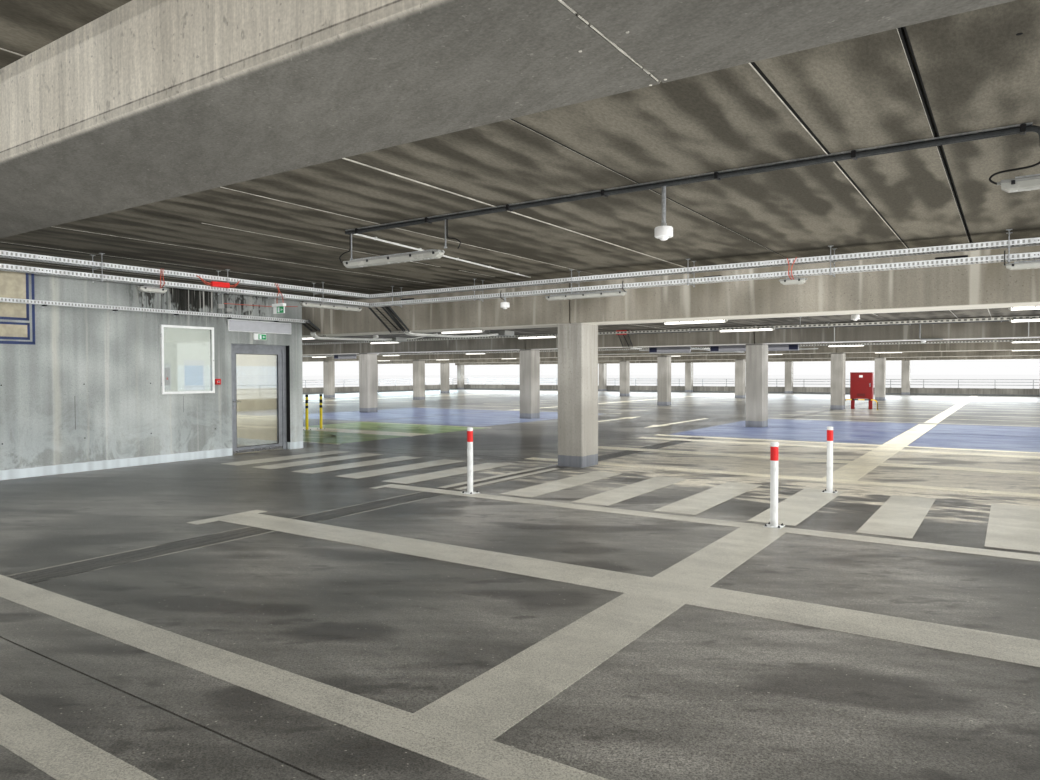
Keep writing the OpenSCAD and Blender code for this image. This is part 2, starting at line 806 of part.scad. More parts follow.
module core_back_wall() {
  color(light_concrete) model()
    block([core_x0, core_y0, slab_top], [core_inner_x0, core_y1, core_top - core_floor_t]);
}

module core_floors() {
  color(concrete) model()
    for (n = [0:roof])
      block(
        [core_inner_x0, core_y0 + core_wall_t, n == 0 ? slab_top : floor_z(n) - core_floor_t],
        [core_inner_x1, core_y1 - core_wall_t, floor_z(n)]
      );
}

module core_roof() {
  color(concrete) model()
    block([core_x0, core_y0, core_top - core_floor_t], [core_x1, core_y1, core_top]);
}

module ground_door_frame() { color("slategray") model() door_frame(0); }
module ground_door_leaf() { color("slategray") model() door_leaf(0); }
module ground_door_glass() { color("lightblue", 0.4) model() door_glass(0); }
module ground_door_handles() { color(steel) model() door_handles(0); }
module ground_hinge_pins() { color(steel) model() at_each_hinge(0) hinge_pin_half(); }
module ground_hinge_knuckles() { color(steel) model() at_each_hinge(0) hinge_knuckle_half(); }

module upper_doors() {
  color("slategray") model()
    for (n = [1:roof]) {
      door_frame(n);
      door_leaf(n);
    }
}

module upper_door_glass() {
  color("lightblue", 0.4) model()
    for (n = [1:roof])
      door_glass(n);
}

module notice_case() { color("white") model() notice_case_body(); }

module notice_case_glass() {
  w = case_frame_w;
  x1 = core_x1 + case_t - 8;
  color("lightblue", 0.4) model()
    block(
      [x1 - case_glass_t, case_y0 + w, floor_z(0) + case_z0 + w],
      [x1, case_y1 - w, floor_z(0) + case_z1 - w]
    );
}

module wall_signs() {
  color("white") model() {
    door_signs();
    hanging_exit_signs();
  }
}

module fire_call_points() {
  color("red") model()
    for (n = [0:roof])
      block(
        [core_x1, door_y0 - 340, floor_z(n) + 1420],
        [core_x1 + 55, door_y0 - 240, floor_z(n) + 1520]
      );
}

module luminaires() { color("white") model() all_luminaires(); }
module ceiling_sensors() { color("white") model() all_sensors(); }
module service_hangers() { color(steel) model() all_hangers(); }
module cable_trays() { color(steel) model() all_trays(); }

module bollards() {
  color("white") model() {
    for (p = bollard_places)
      translate([p[0], p[1], 0]) bollard(bollard_h);
    for (p = yellow_bollard_places)
      translate([p[0], p[1], 0]) bollard(yellow_bollard_h);
  }
}

module hydrant_cabinets() {
  color("firebrick") model()
    for (n = [0:storeys - 1])
      hydrant_cabinet(n);
}

module cabinet_guard_hoops() {
  color("gold") model()
    for (n = [0:storeys - 1])
      guard_hoop(n);
}

ground_slab();
ground_surfacing();
ground_columns();
first_floor_columns();
second_floor_columns();
ground_beams();
first_floor_beams();
second_floor_beams();
wide_beams();
first_deck_planks();
second_deck_planks();
roof_deck_planks();
first_deck_surfacing();
second_deck_surfacing();
roof_deck_surfacing();
ground_upstands();
first_floor_upstands();
second_floor_upstands();
roof_upstands();
ground_guard_rails();
first_floor_guard_rails();
second_floor_guard_rails();
roof_guard_rails();
core_wall_beside_doors();
core_corner_strip();
core_walls_over_doors();
core_end_walls();
core_back_wall();
core_floors();
core_roof();
ground_door_frame();
ground_door_leaf();
ground_door_glass();
ground_door_handles();
ground_hinge_pins();
ground_hinge_knuckles();
upper_doors();
upper_door_glass();
notice_case();
notice_case_glass();
wall_signs();
fire_call_points();
luminaires();
ceiling_sensors();
service_hangers();
cable_trays();
bollards();
hydrant_cabinets();
cabinet_guard_hoops();
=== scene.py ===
"""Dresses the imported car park: finishes, floor paint, services, door and fittings.

Every length here is that of the real building in metres, and SCALE shrinks it to the 1:2 model.
X runs across the building, Y from the near front to the far one, Z up from under the ground slab.
"""

import functools
import itertools
import math
import random

import bpy
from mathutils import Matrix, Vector


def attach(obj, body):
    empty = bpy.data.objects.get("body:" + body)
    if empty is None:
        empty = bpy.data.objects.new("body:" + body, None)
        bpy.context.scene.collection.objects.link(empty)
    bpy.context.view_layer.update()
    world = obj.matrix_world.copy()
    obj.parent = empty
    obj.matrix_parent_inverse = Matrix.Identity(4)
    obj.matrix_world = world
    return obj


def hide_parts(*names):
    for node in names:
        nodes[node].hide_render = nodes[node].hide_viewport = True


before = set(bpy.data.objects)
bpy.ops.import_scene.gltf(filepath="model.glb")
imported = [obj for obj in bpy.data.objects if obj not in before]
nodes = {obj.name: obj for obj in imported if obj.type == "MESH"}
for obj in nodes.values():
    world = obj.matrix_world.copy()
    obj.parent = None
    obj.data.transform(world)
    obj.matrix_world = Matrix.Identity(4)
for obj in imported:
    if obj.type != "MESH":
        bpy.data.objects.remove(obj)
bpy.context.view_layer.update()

SCALE = 0.5
FLOOR = 0.30
STOREY = 3.6
STOREYS = 3
EDGE_X = 24.5
EDGE_Y = 33.2
UPSTAND_T = 0.18
UPSTAND_H = 0.5
ROWS = (-32.7, -23.7, -14.7, -3.9, 8.3, 20.5, 32.7)
COLUMN_LINES = (-24.0, -16.0, -8.0, 0.0, 8.0, 16.0, 24.0)
BEAM_SOFFIT = 2.44
BEAM_W = 0.58
WIDE_ROW = 1
WIDE_BEAM_W = 0.98
WIDE_SOFFIT = 2.726
PLANK_SOFFIT = 3.217
DEEP_SOFFIT = 2.94
LINE_DROP = 0.15
PLANK_W = 1.52
FILLER_X = 21.14
FILLER_W = 0.70
CORE = ((2.90, -23.15), (9.54, -15.29))
CORE_WALL_T = 0.25
WALL_X = CORE[1][0]
DOOR_Y = (-17.03, -15.63)
DOOR_H = 2.2
FRAME_X = (9.36, 9.43)
LEAF_Y = (-16.95, -15.71)
LEAF_T = 0.05
LEAF_GAP = 0.02
LEAF_H = 2.10
STILE = 0.09
HANDLE_Z = 1.05
TRAY_X = 12.04
TRAY_Y = -15.75
TRAY_W = 0.2
TRAY_H = 0.06
TRAY_Z = (2.88, 3.04)
TRAY_START_Y = -23.11
TRAY_END_X = 24.008
HANGER_PITCH = 1.9
WALL_TRAY_W = 0.11
WALL_TRAY_Z = 2.70
JOINT_X = (15.65, 16.05)
LUMINAIRE_Z = 2.79
UNDER_TRAY_Z = 2.77
SENSOR_Z = 2.74
SENSOR_STEP = 2.38
LUMINAIRE_H = 0.09
LUMINAIRE_L = 1.4
LUMINAIRE_PITCH = 6.2
FIRST_LUMINAIRE_X = 22.21
CHANNEL_Z = LUMINAIRE_Z + LUMINAIRE_H
CHANNEL_H = 0.04
CHANNEL_END = 24.108
# Lines of lights in each bay, by how far they are past its first row of columns
LINES = ((3.6,), (3.63, 7.95), (3.75, 7.35), (5.6, 9.9), (5.6, 9.9), (5.6, 9.9))
LIT_FROM_ROW = 2

random.seed(7)


def floor_z(storey):
    return FLOOR + STOREY * storey


def soffit_in_bay(row):
    return DEEP_SOFFIT if row > WIDE_ROW else PLANK_SOFFIT


def line_drop(row):
    return LINE_DROP if row > WIDE_ROW else 0.0


def rgb(red, green, blue):
    """A colour as a screen shows it, from 0 to 255, in the linear values that shaders use."""

    def linear(value):
        value /= 255
        return value / 12.92 if value <= 0.04045 else ((value + 0.055) / 1.055) ** 2.4

    return (linear(red), linear(green), linear(blue), 1.0)


class Graph:
    """The nodes of one material, with positions in metres of the real building."""

    def __init__(self, name):
        self.material = bpy.data.materials.new(name)
        self.material.use_nodes = True
        self.tree = self.material.node_tree
        self.tree.nodes.clear()
        self.output = self.add("ShaderNodeOutputMaterial")
        coordinates = self.add("ShaderNodeTexCoord")
        self.position = self.vector("SCALE", coordinates.outputs["Object"], Scale=1 / SCALE)
        split = self.add("ShaderNodeSeparateXYZ", Vector=self.position)
        self.x, self.y, self.z = split.outputs

    def add(self, kind, settings=None, **inputs):
        node = self.tree.nodes.new(kind)
        for key, value in (settings or {}).items():
            setattr(node, key, value)
        for key, value in inputs.items():
            self.feed(node.inputs[key.replace("_", " ")], value)
        return node

    def feed(self, socket, value):
        if isinstance(value, bpy.types.NodeSocket):
            self.tree.links.new(value, socket)
        else:
            socket.default_value = value

    def math(self, operation, *values):
        node = self.add("ShaderNodeMath", {"operation": operation})
        for socket, value in zip(node.inputs, values):
            self.feed(socket, value)
        return node.outputs[0]

    def plus(self, a, b):
        return self.math("ADD", a, b)

    def minus(self, a, b):
        return self.math("SUBTRACT", a, b)

    def times(self, a, b):
        return self.math("MULTIPLY", a, b)

    def vector(self, operation, *values, **inputs):
        node = self.add("ShaderNodeVectorMath", {"operation": operation}, **inputs)
        for socket, value in zip(node.inputs, values):
            self.feed(socket, value)
        return node.outputs[0]

    def noise(self, scale, detail=2.0, roughness=0.6, distortion=0.0, stretch=None, offset=(0, 0, 0), turn=0):
        """Cloudy grey from 0 to 1; stretch gives scales along X, Y and Z, which may be turned about Z."""
        place = self.position
        if turn:
            turned = self.add("ShaderNodeVectorRotate", {"rotation_type": "Z_AXIS"}, Vector=place, Angle=turn)
            place = turned.outputs[0]
        if stretch:
            place = self.vector("MULTIPLY_ADD", place, stretch, offset)
        inputs = {"Scale": scale, "Detail": detail, "Roughness": roughness, "Distortion": distortion}
        return self.add("ShaderNodeTexNoise", Vector=place, **inputs).outputs[0]

    def streaks(self, stretch, roughness, detail=2.0, offset=(0, 0, 0), turn=0):
        """Noise with only its own scales along X, Y and Z."""
        return self.noise(1.0, detail, roughness, stretch=stretch, offset=offset, turn=turn)

    def ramp(self, value, low, high, to_low=0.0, to_high=1.0, smooth=True):
        kind = {"interpolation_type": "SMOOTHSTEP" if smooth else "LINEAR"}
        limits = {"From_Min": low, "From_Max": high, "To_Min": to_low, "To_Max": to_high}
        return self.add("ShaderNodeMapRange", kind, Value=value, **limits).outputs[0]

    def band(self, value, low, high, soft=0.005):
        """1 between low and high, and 0 outside."""
        rise = self.ramp(value, low - soft, low + soft)
        return self.times(rise, self.ramp(value, high - soft, high + soft, 1.0, 0.0))

    def mix(self, factor, a, b, blend="MIX"):
        node = self.add("ShaderNodeMix", {"data_type": "RGBA", "blend_type": blend})
        self.feed(node.inputs[0], factor)
        self.feed(node.inputs[6], a)
        self.feed(node.inputs[7], b)
        return node.outputs[2]

    def shade(self, colour, amount):
        """The colour times a grey value that varies over the surface."""
        grey = self.add("ShaderNodeCombineColor", Red=amount, Green=amount, Blue=amount)
        return self.mix(1.0, colour, grey.outputs[0], "MULTIPLY")

    def grade(self, colour, *limits, **kind):
        """The colour times a ramp."""
        return self.shade(colour, self.ramp(*limits, **kind))

    def bump(self, height, strength=0.4, distance=0.002):
        node = self.add("ShaderNodeBump", Strength=strength, Distance=distance, Height=height)
        return node.outputs[0]

    def surface(self, colour, roughness, normal=None, **inputs):
        shader = self.add("ShaderNodeBsdfPrincipled", Base_Color=colour, Roughness=roughness)
        for key, value in inputs.items():
            self.feed(shader.inputs[key.replace("_", " ")], value)
        if normal is not None:
            self.feed(shader.inputs["Normal"], normal)
        self.tree.links.new(shader.outputs[0], self.output.inputs[0])
        return self.material


def storey_height(g):
    """Height above the floor of the storey that the point is on."""
    return g.math("MODULO", g.minus(g.z, FLOOR), STOREY)


def cast_concrete(
    name, pale, dark, streak=0.3, lime=0.0, foot=None, extra=None, stretch=(5.0, 5.0, 0.25), speckle=0.1
):
    """Formed concrete: clouds, vertical streaks, blowholes, fine grain, and a painted foot if given."""
    g = Graph(name)
    colour = g.mix(g.ramp(g.noise(0.55, 2.0, 0.65), 0.38, 0.63), dark, pale)
    runs = g.streaks(stretch, 0.75)
    colour = g.grade(colour, runs, 0.36, 0.64, 1.0 - streak, 1.0 + streak * 0.45, smooth=False)
    if lime:
        thin = g.streaks((7.0, 7.0, 0.12), 0.7, offset=(3.1, 1.7, 0.0))
        colour = g.mix(g.ramp(thin, 0.58, 0.72, 0.0, lime), colour, rgb(206, 206, 198))
    grain = g.noise(64.0, 1.0, 0.8)
    colour = g.grade(colour, grain, 0.3, 0.7, 1.0 - speckle, 1.0 + speckle, smooth=False)
    holes = g.ramp(g.noise(46.0, 0.0), 0.78, 0.81)
    colour = g.grade(colour, holes, 0.0, 1.0, 1.0, 0.68)
    if extra:
        colour = extra(g, colour)
    roughness = g.ramp(grain, 0.2, 0.8, 0.72, 0.9)
    if foot:
        height, paint = foot
        above = g.plus(storey_height(g), g.ramp(runs, 0.3, 0.7, -0.006, 0.006))
        mask = g.ramp(above, height - 0.004, height, 1.0, 0.0)
        colour = g.mix(mask, colour, g.grade(paint, runs, 0.3, 0.62, 0.8, 1.08))
    return g.surface(colour, roughness, g.bump(grain, 0.35, 0.0016), Specular_IOR_Level=0.3)


def asphalt_colour(g):
    """Dark rough floor finish: clouds, rubber in the lanes, stains, drips, dust with painted daylight, and pale
    grit.
    """
    clouds = g.noise(0.36, 1.0, 0.66)
    colour = g.mix(g.ramp(clouds, 0.38, 0.62), rgb(89, 88, 83), rgb(128, 126, 119))
    drag = g.streaks((1.1, 3.2, 1.0), 0.72)
    colour = g.grade(colour, drag, 0.36, 0.66, 0.80, 1.16, smooth=False)
    sweep = g.streaks((0.55, 4.5, 1.0), 0.8, offset=(2.0, 7.0, 0.0), turn=-0.55)
    colour = g.grade(colour, sweep, 0.36, 0.66, 0.80, 1.16, smooth=False)
    across = g.minus(g.math("MODULO", g.plus(g.x, 72.0 - LANES[2]), 16.0), 8.0)
    lane = g.ramp(g.math("ABSOLUTE", across), LANE_HALF - 0.5, LANE_HALF + 0.9, 1.0, 0.0)
    colour = g.grade(colour, g.times(lane, g.ramp(drag, 0.25, 0.6, 0.5, 1.0)), 0.0, 1.0, 1.0, 0.74)
    # Pale dust and painted daylight on the bays near the open right side.
    colour = g.mix(dust_and_daylight(g, drag), colour, rgb(200, 193, 175))
    stain = g.noise(0.95, 1.0, 0.8, stretch=(0.8, 1.9, 1.0), offset=(4.0, 9.0, 0.0), turn=-0.55)
    colour = g.mix(g.ramp(stain, 0.53, 0.66, 0.0, 0.62), colour, rgb(50, 48, 46))
    drips = g.streaks((2.4, 5.2, 1.0), 0.8, turn=-0.55)
    colour = g.mix(g.ramp(drips, 0.57, 0.70, 0.0, 0.5), colour, rgb(50, 48, 46))
    grit = g.noise(118.0, 1.0, 0.8)
    colour = g.grade(colour, grit, 0.30, 0.70, 0.42, 1.66, smooth=False)
    return colour, grit


def dust_and_daylight(g, drag):
    """Up to 1 on the ground bays that are pale with dust and painted daylight, beside the lane and past the
    crossing.
    """
    low = g.ramp(g.z, FLOOR + 0.4, FLOOR + 0.5, 1.0, 0.0)
    edge = g.ramp(drag, 0.3, 0.7, -1.1, 1.1)
    along = g.times(g.ramp(g.plus(g.y, edge), -16.4, -15.0), g.ramp(g.plus(g.y, edge), -8.6, -7.0, 1.0, 0.0))
    across = g.ramp(g.plus(g.x, edge), 14.4, 17.0)
    return g.times(g.times(low, along), g.times(across, g.ramp(drag, 0.3, 0.56, 0.68, 1.0)))


def floor_surface(g, colour, grit, smoothest, roughest):
    """The sheen of the floor, and the relief of its grit."""
    roughness = g.ramp(grit, 0.35, 0.65, smoothest, roughest)
    return g.surface(colour, roughness, g.bump(grit, 0.4, 0.0015), Specular_IOR_Level=0.8)


def make_asphalt():
    g = Graph("asphalt")
    colour, grit = asphalt_colour(g)
    chips = g.ramp(g.noise(62.0, 0.0), 0.83, 0.86, 0.0, 0.7)
    colour = g.mix(chips, colour, rgb(196, 192, 180))
    rubbed = g.streaks((26.0, 1.3, 1.0), 0.75, 3.0)
    strip = g.band(g.x, JOINT_X[0] - 0.01, JOINT_X[1] + 0.01, 0.012)
    colour = g.mix(strip, colour, g.mix(g.ramp(rubbed, 0.4, 0.62), rgb(40, 38, 35), rgb(88, 84, 78)))
    edges = g.math("ABSOLUTE", g.minus(g.math("ABSOLUTE", g.minus(g.x, sum(JOINT_X) / 2)), 0.2))
    line = g.times(g.ramp(edges, 0.012, 0.024, 1.0, 0.0), g.ramp(rubbed, 0.42, 0.5, 0.0, 0.75))
    colour = g.mix(line, colour, rgb(160, 157, 146))
    return floor_surface(g, colour, grit, 0.31, 0.46)


def make_paint(name, tone, wear=0.6, wear_from=0.56, second=None):
    """Road paint over the same floor, worn through in fine flecks, with tyre grime over it."""
    g = Graph(name)
    base, grit = asphalt_colour(g)
    broad = g.noise(1.3, 3.0, 0.7, stretch=(1.0, 1.0, 1.0), offset=(8.0, 1.0, 0.0))
    drag = g.streaks((0.7, 3.4, 1.0), 0.75, 3.0, offset=(3.0, 5.0, 0.0))
    paint = tone
    if second:
        paint = g.mix(g.ramp(drag, 0.40, 0.62), tone, second)
    paint = g.grade(paint, broad, 0.36, 0.66, 0.82, 1.08)
    paint = g.grade(paint, drag, 0.36, 0.66, 0.92, 1.06)
    paint = g.grade(paint, grit, 0.30, 0.70, 0.60, 1.36, smooth=False)
    flecks = g.plus(g.times(grit, 0.55), g.times(broad, 0.45))
    worn = g.ramp(flecks, wear_from, wear_from + 0.09, 0.0, wear)
    colour = g.mix(worn, paint, base)
    return floor_surface(g, colour, grit, 0.29, 0.43)


def make_planks():
    """Underside of the deck planks: smudged bands along each plank, its own tone, and stained joints."""
    g = Graph("deck_concrete")
    count = g.math("DIVIDE", g.minus(g.x, FILLER_X), PLANK_W)
    tone = g.add("ShaderNodeTexWhiteNoise", {"noise_dimensions": "1D"}, W=g.math("FLOOR", count)).outputs[0]
    across = g.math("FRACT", count)
    patchy = g.streaks((2.2, 0.7, 1.0), 0.76)
    turns = g.plus(g.times(across, 4.6 * 2 * math.pi), g.times(tone, 9.0))
    wave = g.math("SINE", g.plus(turns, g.times(patchy, 5.0)))
    strength = g.ramp(g.noise(0.42, 1.0), 0.35, 0.65, 0.02, 0.13)
    stripes = g.plus(g.times(wave, strength), patchy)
    colour = g.mix(g.ramp(stripes, 0.34, 0.66), rgb(82, 78, 68), rgb(128, 123, 110))
    colour = g.grade(colour, tone, 0.0, 1.0, 0.86, 1.1)
    # Painted shade: the planks darken towards lower X, away from the open right side.
    colour = g.grade(colour, g.x, 11.0, 16.5, 0.64, 1.0)
    fine = g.streaks((52.0, 20.0, 8.0), 0.85)
    colour = g.grade(colour, fine, 0.34, 0.66, 0.82, 1.17, smooth=False)
    edge = g.math("ABSOLUTE", g.minus(across, 0.5))
    colour = g.grade(colour, edge, 0.45, 0.5, 1.0, 0.8)
    return g.surface(colour, 0.85, Specular_IOR_Level=0.25)


def beam_marks(g, colour):
    """Stains that run down from the top of a beam, a few white deposits, and painted light on its pale
    underside.
    """
    above = storey_height(g)
    runs = g.streaks((1.3, 1.3, 0.12), 0.8, offset=(7.0, 2.0, 0.0))
    dark = g.times(g.ramp(runs, 0.46, 0.62), g.ramp(above, 2.5, 3.1, 0.12, 0.6))
    colour = g.mix(dark, colour, rgb(100, 93, 76))
    colour = g.grade(colour, above, 2.5, 3.15, 1.05, 0.86)
    white = g.streaks((5.0, 5.0, 0.4), 0.7, 1.0, offset=(1.0, 9.0, 0.0))
    colour = g.mix(g.ramp(white, 0.58, 0.7, 0.0, 0.5), colour, rgb(196, 192, 180))
    # Painted light: the underside painted pale, as if lit from below.
    under = g.ramp(above, BEAM_SOFFIT + 0.004, BEAM_SOFFIT + 0.018, 1.0, 0.0)
    return g.mix(under, colour, g.shade(rgb(226, 223, 214), g.ramp(g.noise(1.2, 2.0), 0.35, 0.65, 0.9, 1.0)))


def column_marks(g, colour):
    """Columns past the second row are painted darker, as painted shade, and dark smears run down from their
    tops.
    """
    runs = g.streaks((6.0, 6.0, 0.5), 0.75, offset=(5.0, 1.0, 0.0))
    smear = g.times(g.ramp(runs, 0.5, 0.64, 0.0, 0.4), g.ramp(storey_height(g), 0.8, 2.4))
    colour = g.mix(smear, colour, rgb(122, 118, 110))
    # Painted shade: darker columns past the second row.
    return g.grade(colour, g.y, -13.0, -2.0, 1.0, 0.74)


def wide_beam_marks(g, colour):
    """The wide beam's faces are painted pale, as painted light, and its underside a darker, cooler grey, as
    painted shade.
    """
    above = storey_height(g)
    under = g.ramp(above, WIDE_SOFFIT + 0.002, WIDE_SOFFIT + 0.02, 1.0, 0.0)
    fine = g.streaks((24.0, 24.0, 1.6), 0.85, 4.0, offset=(3.0, 1.0, 0.0))
    colour = g.grade(colour, fine, 0.36, 0.64, 0.82, 1.10, smooth=False)
    spots = g.streaks((11.0, 11.0, 7.0), 0.9, 3.0)
    colour = g.mix(g.ramp(spots, 0.60, 0.70, 0.0, 0.5), colour, rgb(122, 118, 108))
    lip = g.ramp(above, WIDE_SOFFIT + 0.055, WIDE_SOFFIT + 0.06, 1.0, 0.0)
    colour = g.grade(colour, lip, 0.0, 1.0, 1.04, 0.84)
    seam = g.band(above, WIDE_SOFFIT + 0.053, WIDE_SOFFIT + 0.060, 0.002)
    colour = g.mix(g.times(seam, g.ramp(fine, 0.3, 0.6, 0.9, 0.5)), colour, rgb(78, 74, 66))
    # Painted shade: the underside a darker, cooler grey than the pale face.
    swirl = g.noise(1.0, 5.0, 0.85, 0.25, stretch=(3.0, 9.0, 9.0), turn=0.5)
    soffit = g.mix(g.ramp(swirl, 0.34, 0.66), rgb(105, 103, 96), rgb(120, 118, 111))
    soffit = g.grade(soffit, g.noise(70.0, 1.0, 0.8), 0.3, 0.7, 0.86, 1.12, smooth=False)
    soffit = g.mix(g.ramp(g.noise(26.0, 2.0, 0.9), 0.66, 0.74, 0.0, 0.5), soffit, rgb(160, 157, 148))
    return g.mix(under, colour, g.shade(soffit, g.ramp(g.noise(0.6, 2.0), 0.35, 0.65, 0.9, 1.06)))


# Pale runs on the core wall: place along Y, half width, strength
LIME_RUNS = (
    (-20.22, 0.05, 0.42), (-19.75, 0.02, 0.3), (-18.9, 0.03, 0.25), (-18.3, 0.015, 0.3), (-21.6, 0.02, 0.3),
)


def core_marks(g, colour):
    """Warm paint inside the core; outside, lime runs, a pale foot, a dark wet stain and painted shade under the
    deck, and painted shade in the door's reveal.
    """
    (x0, y0), (x1, y1) = CORE
    t = CORE_WALL_T
    inside = g.times(g.band(g.x, x0 + t - 0.01, x1 - t + 0.01), g.band(g.y, y0 + t - 0.01, y1 - t + 0.01))
    above = storey_height(g)
    drip = g.streaks((4.0, 4.0, 0.3), 0.7, 3.0)
    smear = g.noise(1.6, 4.0, 0.75, 0.6)
    low = g.ramp(g.plus(above, g.ramp(smear, 0.3, 0.7, -0.7, 0.7)), 0.0, 1.6, 1.0, 0.0)
    wash = g.times(low, g.ramp(smear, 0.42, 0.6))
    colour = g.mix(g.times(wash, 0.62), colour, rgb(206, 216, 217))
    colour = g.grade(colour, above, 1.7, 3.1, 1.0, 0.64)
    patch = g.band(g.y, -18.95, -16.2, 0.25)
    blot = g.streaks((1.0, 5.0, 2.2), 0.8, 3.0, offset=(0.0, 6.0, 1.0))
    patch = g.times(patch, g.ramp(blot, 0.47, 0.55))
    # Dark wet stain and painted shade under the deck.
    wet_and_shade = g.times(g.ramp(g.plus(above, g.ramp(drip, 0.4, 0.62, -0.2, 0.3)), 2.80, 2.98), patch)
    colour = g.mix(g.times(wet_and_shade, 0.92), colour, rgb(36, 35, 31))
    ragged = g.ramp(blot, 0.4, 0.6, -0.07, 0.07)
    across = g.band(g.plus(g.y, ragged), -18.34, -17.44, 0.05)
    # Near-black stain and painted shade in the corner under the deck.
    soaked_and_shade = g.times(across, g.ramp(g.plus(above, ragged), 2.78, 2.86))
    colour = g.mix(g.times(soaked_and_shade, 0.96), colour, rgb(26, 26, 22))
    thin = g.streaks((17.0, 17.0, 0.35), 0.7, offset=(2.0, 4.0, 0.0))
    place = g.times(g.ramp(above, 2.5, 2.85), g.band(g.y, -18.9, -16.9, 0.4))
    trickle = g.times(g.ramp(thin, 0.54, 0.60), place)
    colour = g.mix(g.times(trickle, 0.75), colour, rgb(58, 57, 52))
    place = g.times(g.ramp(above, 2.55, 2.9), g.band(g.y, -18.4, -16.9, 0.4))
    pale = g.times(g.ramp(thin, 0.36, 0.44, 1.0, 0.0), place)
    colour = g.mix(g.times(pale, 0.6), colour, rgb(206, 206, 198))
    wander = g.ramp(g.noise(3.0, 1.0), 0.0, 1.0, -0.03, 0.03)
    for y, half, amount in LIME_RUNS:
        line = g.band(g.plus(g.y, wander), y - half, y + half, half * 0.8)
        line = g.times(line, g.ramp(drip, 0.38, 0.6, amount * 0.3, amount))
        colour = g.mix(line, colour, rgb(206, 204, 190))
    # Painted shade: the door's reveal drawn nearly black.
    jamb = g.band(g.y, DOOR_Y[1] - 0.003, DOOR_Y[1] + 0.003, 0.001)
    reveal_shade = g.times(jamb, g.ramp(above, DOOR_H, DOOR_H + 0.01, 1.0, 0.0))
    colour = g.mix(reveal_shade, colour, rgb(34, 35, 36))
    return g.mix(inside, colour, g.grade(rgb(222, 214, 186), drip, 0.36, 0.64, 0.92, 1.05))


def upstand_marks(g, colour):
    """Dark coating along the inner foot of the upstands, painted shade on their inner faces, and dirt that runs
    down their outside.
    """
    inner = g.times(
        g.band(g.math("ABSOLUTE", g.x), -1.0, EDGE_X - UPSTAND_T + 0.01),
        g.band(g.math("ABSOLUTE", g.y), -1.0, EDGE_Y - UPSTAND_T + 0.01),
    )
    weathered = g.mix(g.ramp(g.noise(0.8, 3.0, 0.7), 0.36, 0.62, 0.35, 0.7), colour, rgb(198, 195, 186))
    # Painted shade: the inner faces darker than the outer ones.
    colour = g.mix(inner, weathered, g.shade(colour, g.ramp(inner, 0.0, 1.0, 1.0, 0.74)))
    foot = g.times(inner, g.ramp(storey_height(g), 0.11, 0.12, 1.0, 0.0))
    return g.mix(foot, colour, g.shade(rgb(104, 107, 106), g.ramp(g.noise(4.0, 2.0), 0.3, 0.7, 0.8, 1.1)))


def make_metal(name, colour, roughness, spangle=0.0, metallic=1.0, **inputs):
    g = Graph(name)
    cloud = g.noise(6.0, 2.0, 0.7)
    tone = g.shade(colour, g.ramp(cloud, 0.35, 0.75, 1.0, 0.80))
    if spangle:
        flakes = g.noise(55.0, 0.0)
        tone = g.grade(tone, flakes, 0.3, 0.7, 1.0 - spangle, 1.0 + spangle)
    rough = g.ramp(cloud, 0.3, 0.7, roughness * 0.85, min(1.0, roughness * 1.2))
    return g.surface(tone, rough, Metallic=metallic, **inputs)


def make_slotted(name, colour, period, heights):
    """Galvanised rail with a row of slots along X, drawn as painted shade, at the given heights above the
    floor.
    """
    g = Graph(name)
    above = storey_height(g)
    rows = functools.reduce(g.plus, [g.band(above, low, high, 0.001) for low, high in heights])
    place = g.math("FRACT", g.math("DIVIDE", g.plus(g.x, 96.0), period))
    slot = g.times(rows, g.band(place, 0.3, 0.8, 0.04))
    cloud = g.noise(5.0, 2.0, 0.7)
    tone = g.shade(colour, g.ramp(cloud, 0.35, 0.7, 1.0, 0.82))
    # Painted shade: the slots drawn as a darker grey.
    tone = g.mix(slot, tone, rgb(118, 118, 114))
    return g.surface(tone, g.ramp(cloud, 0.3, 0.7, 0.4, 0.55))


def make_plain(name, colour, roughness, variation=0.06, **inputs):
    """Plastic or enamel with a faint change of tone and sheen."""
    g = Graph(name)
    cloud = g.noise(7.0, 2.0, 0.65)
    tone = g.shade(colour, g.ramp(cloud, 0.3, 0.7, 1.0 - variation, 1.0 + variation * 0.4))
    return g.surface(tone, g.ramp(cloud, 0.3, 0.7, roughness * 0.85, min(1.0, roughness * 1.15)), **inputs)


def make_glass(name, colour, cover, mirror):
    """Coated glass: a thin reflecting film that lets most of the light through."""
    g = Graph(name)
    smears = g.ramp(g.noise(3.0, 2.0, 0.7), 0.35, 0.75, 0.01, 0.05)
    return g.surface(colour, smears, Metallic=mirror, Alpha=cover, IOR=1.5)


def make_lamp(name, strength):
    g = Graph(name)
    tone = g.shade(rgb(255, 252, 244), g.ramp(g.noise(3.0, 1.0), 0.3, 0.7, 0.96, 1.0))
    g.material.cycles.emission_sampling = "NONE"
    return g.surface(tone, 0.35, Emission_Color=tone, Emission_Strength=strength)


def banded(name, first, second, period, start=0.0, axis="z"):
    """Enamel in two colours by turns."""
    g = Graph(name)
    place = g.math("FRACT", g.math("DIVIDE", g.minus(getattr(g, axis), start), period))
    colour = g.mix(g.band(place, 0.5, 1.2, 0.01), first, second)
    cloud = g.noise(9.0, 2.0, 0.7)
    colour = g.grade(colour, cloud, 0.3, 0.7, 0.86, 1.04)
    return g.surface(colour, g.ramp(cloud, 0.3, 0.7, 0.3, 0.45))


HEADS = (-11.84, 4.16, 20.16)
LANES = (-19.81, -3.81, 12.19)
LANE_HALF = 2.6
LINE_END = 24.1
COLUMN_FOOT = (0.19, rgb(116, 119, 124))
WALL_FOOT = (0.15, rgb(210, 219, 222))
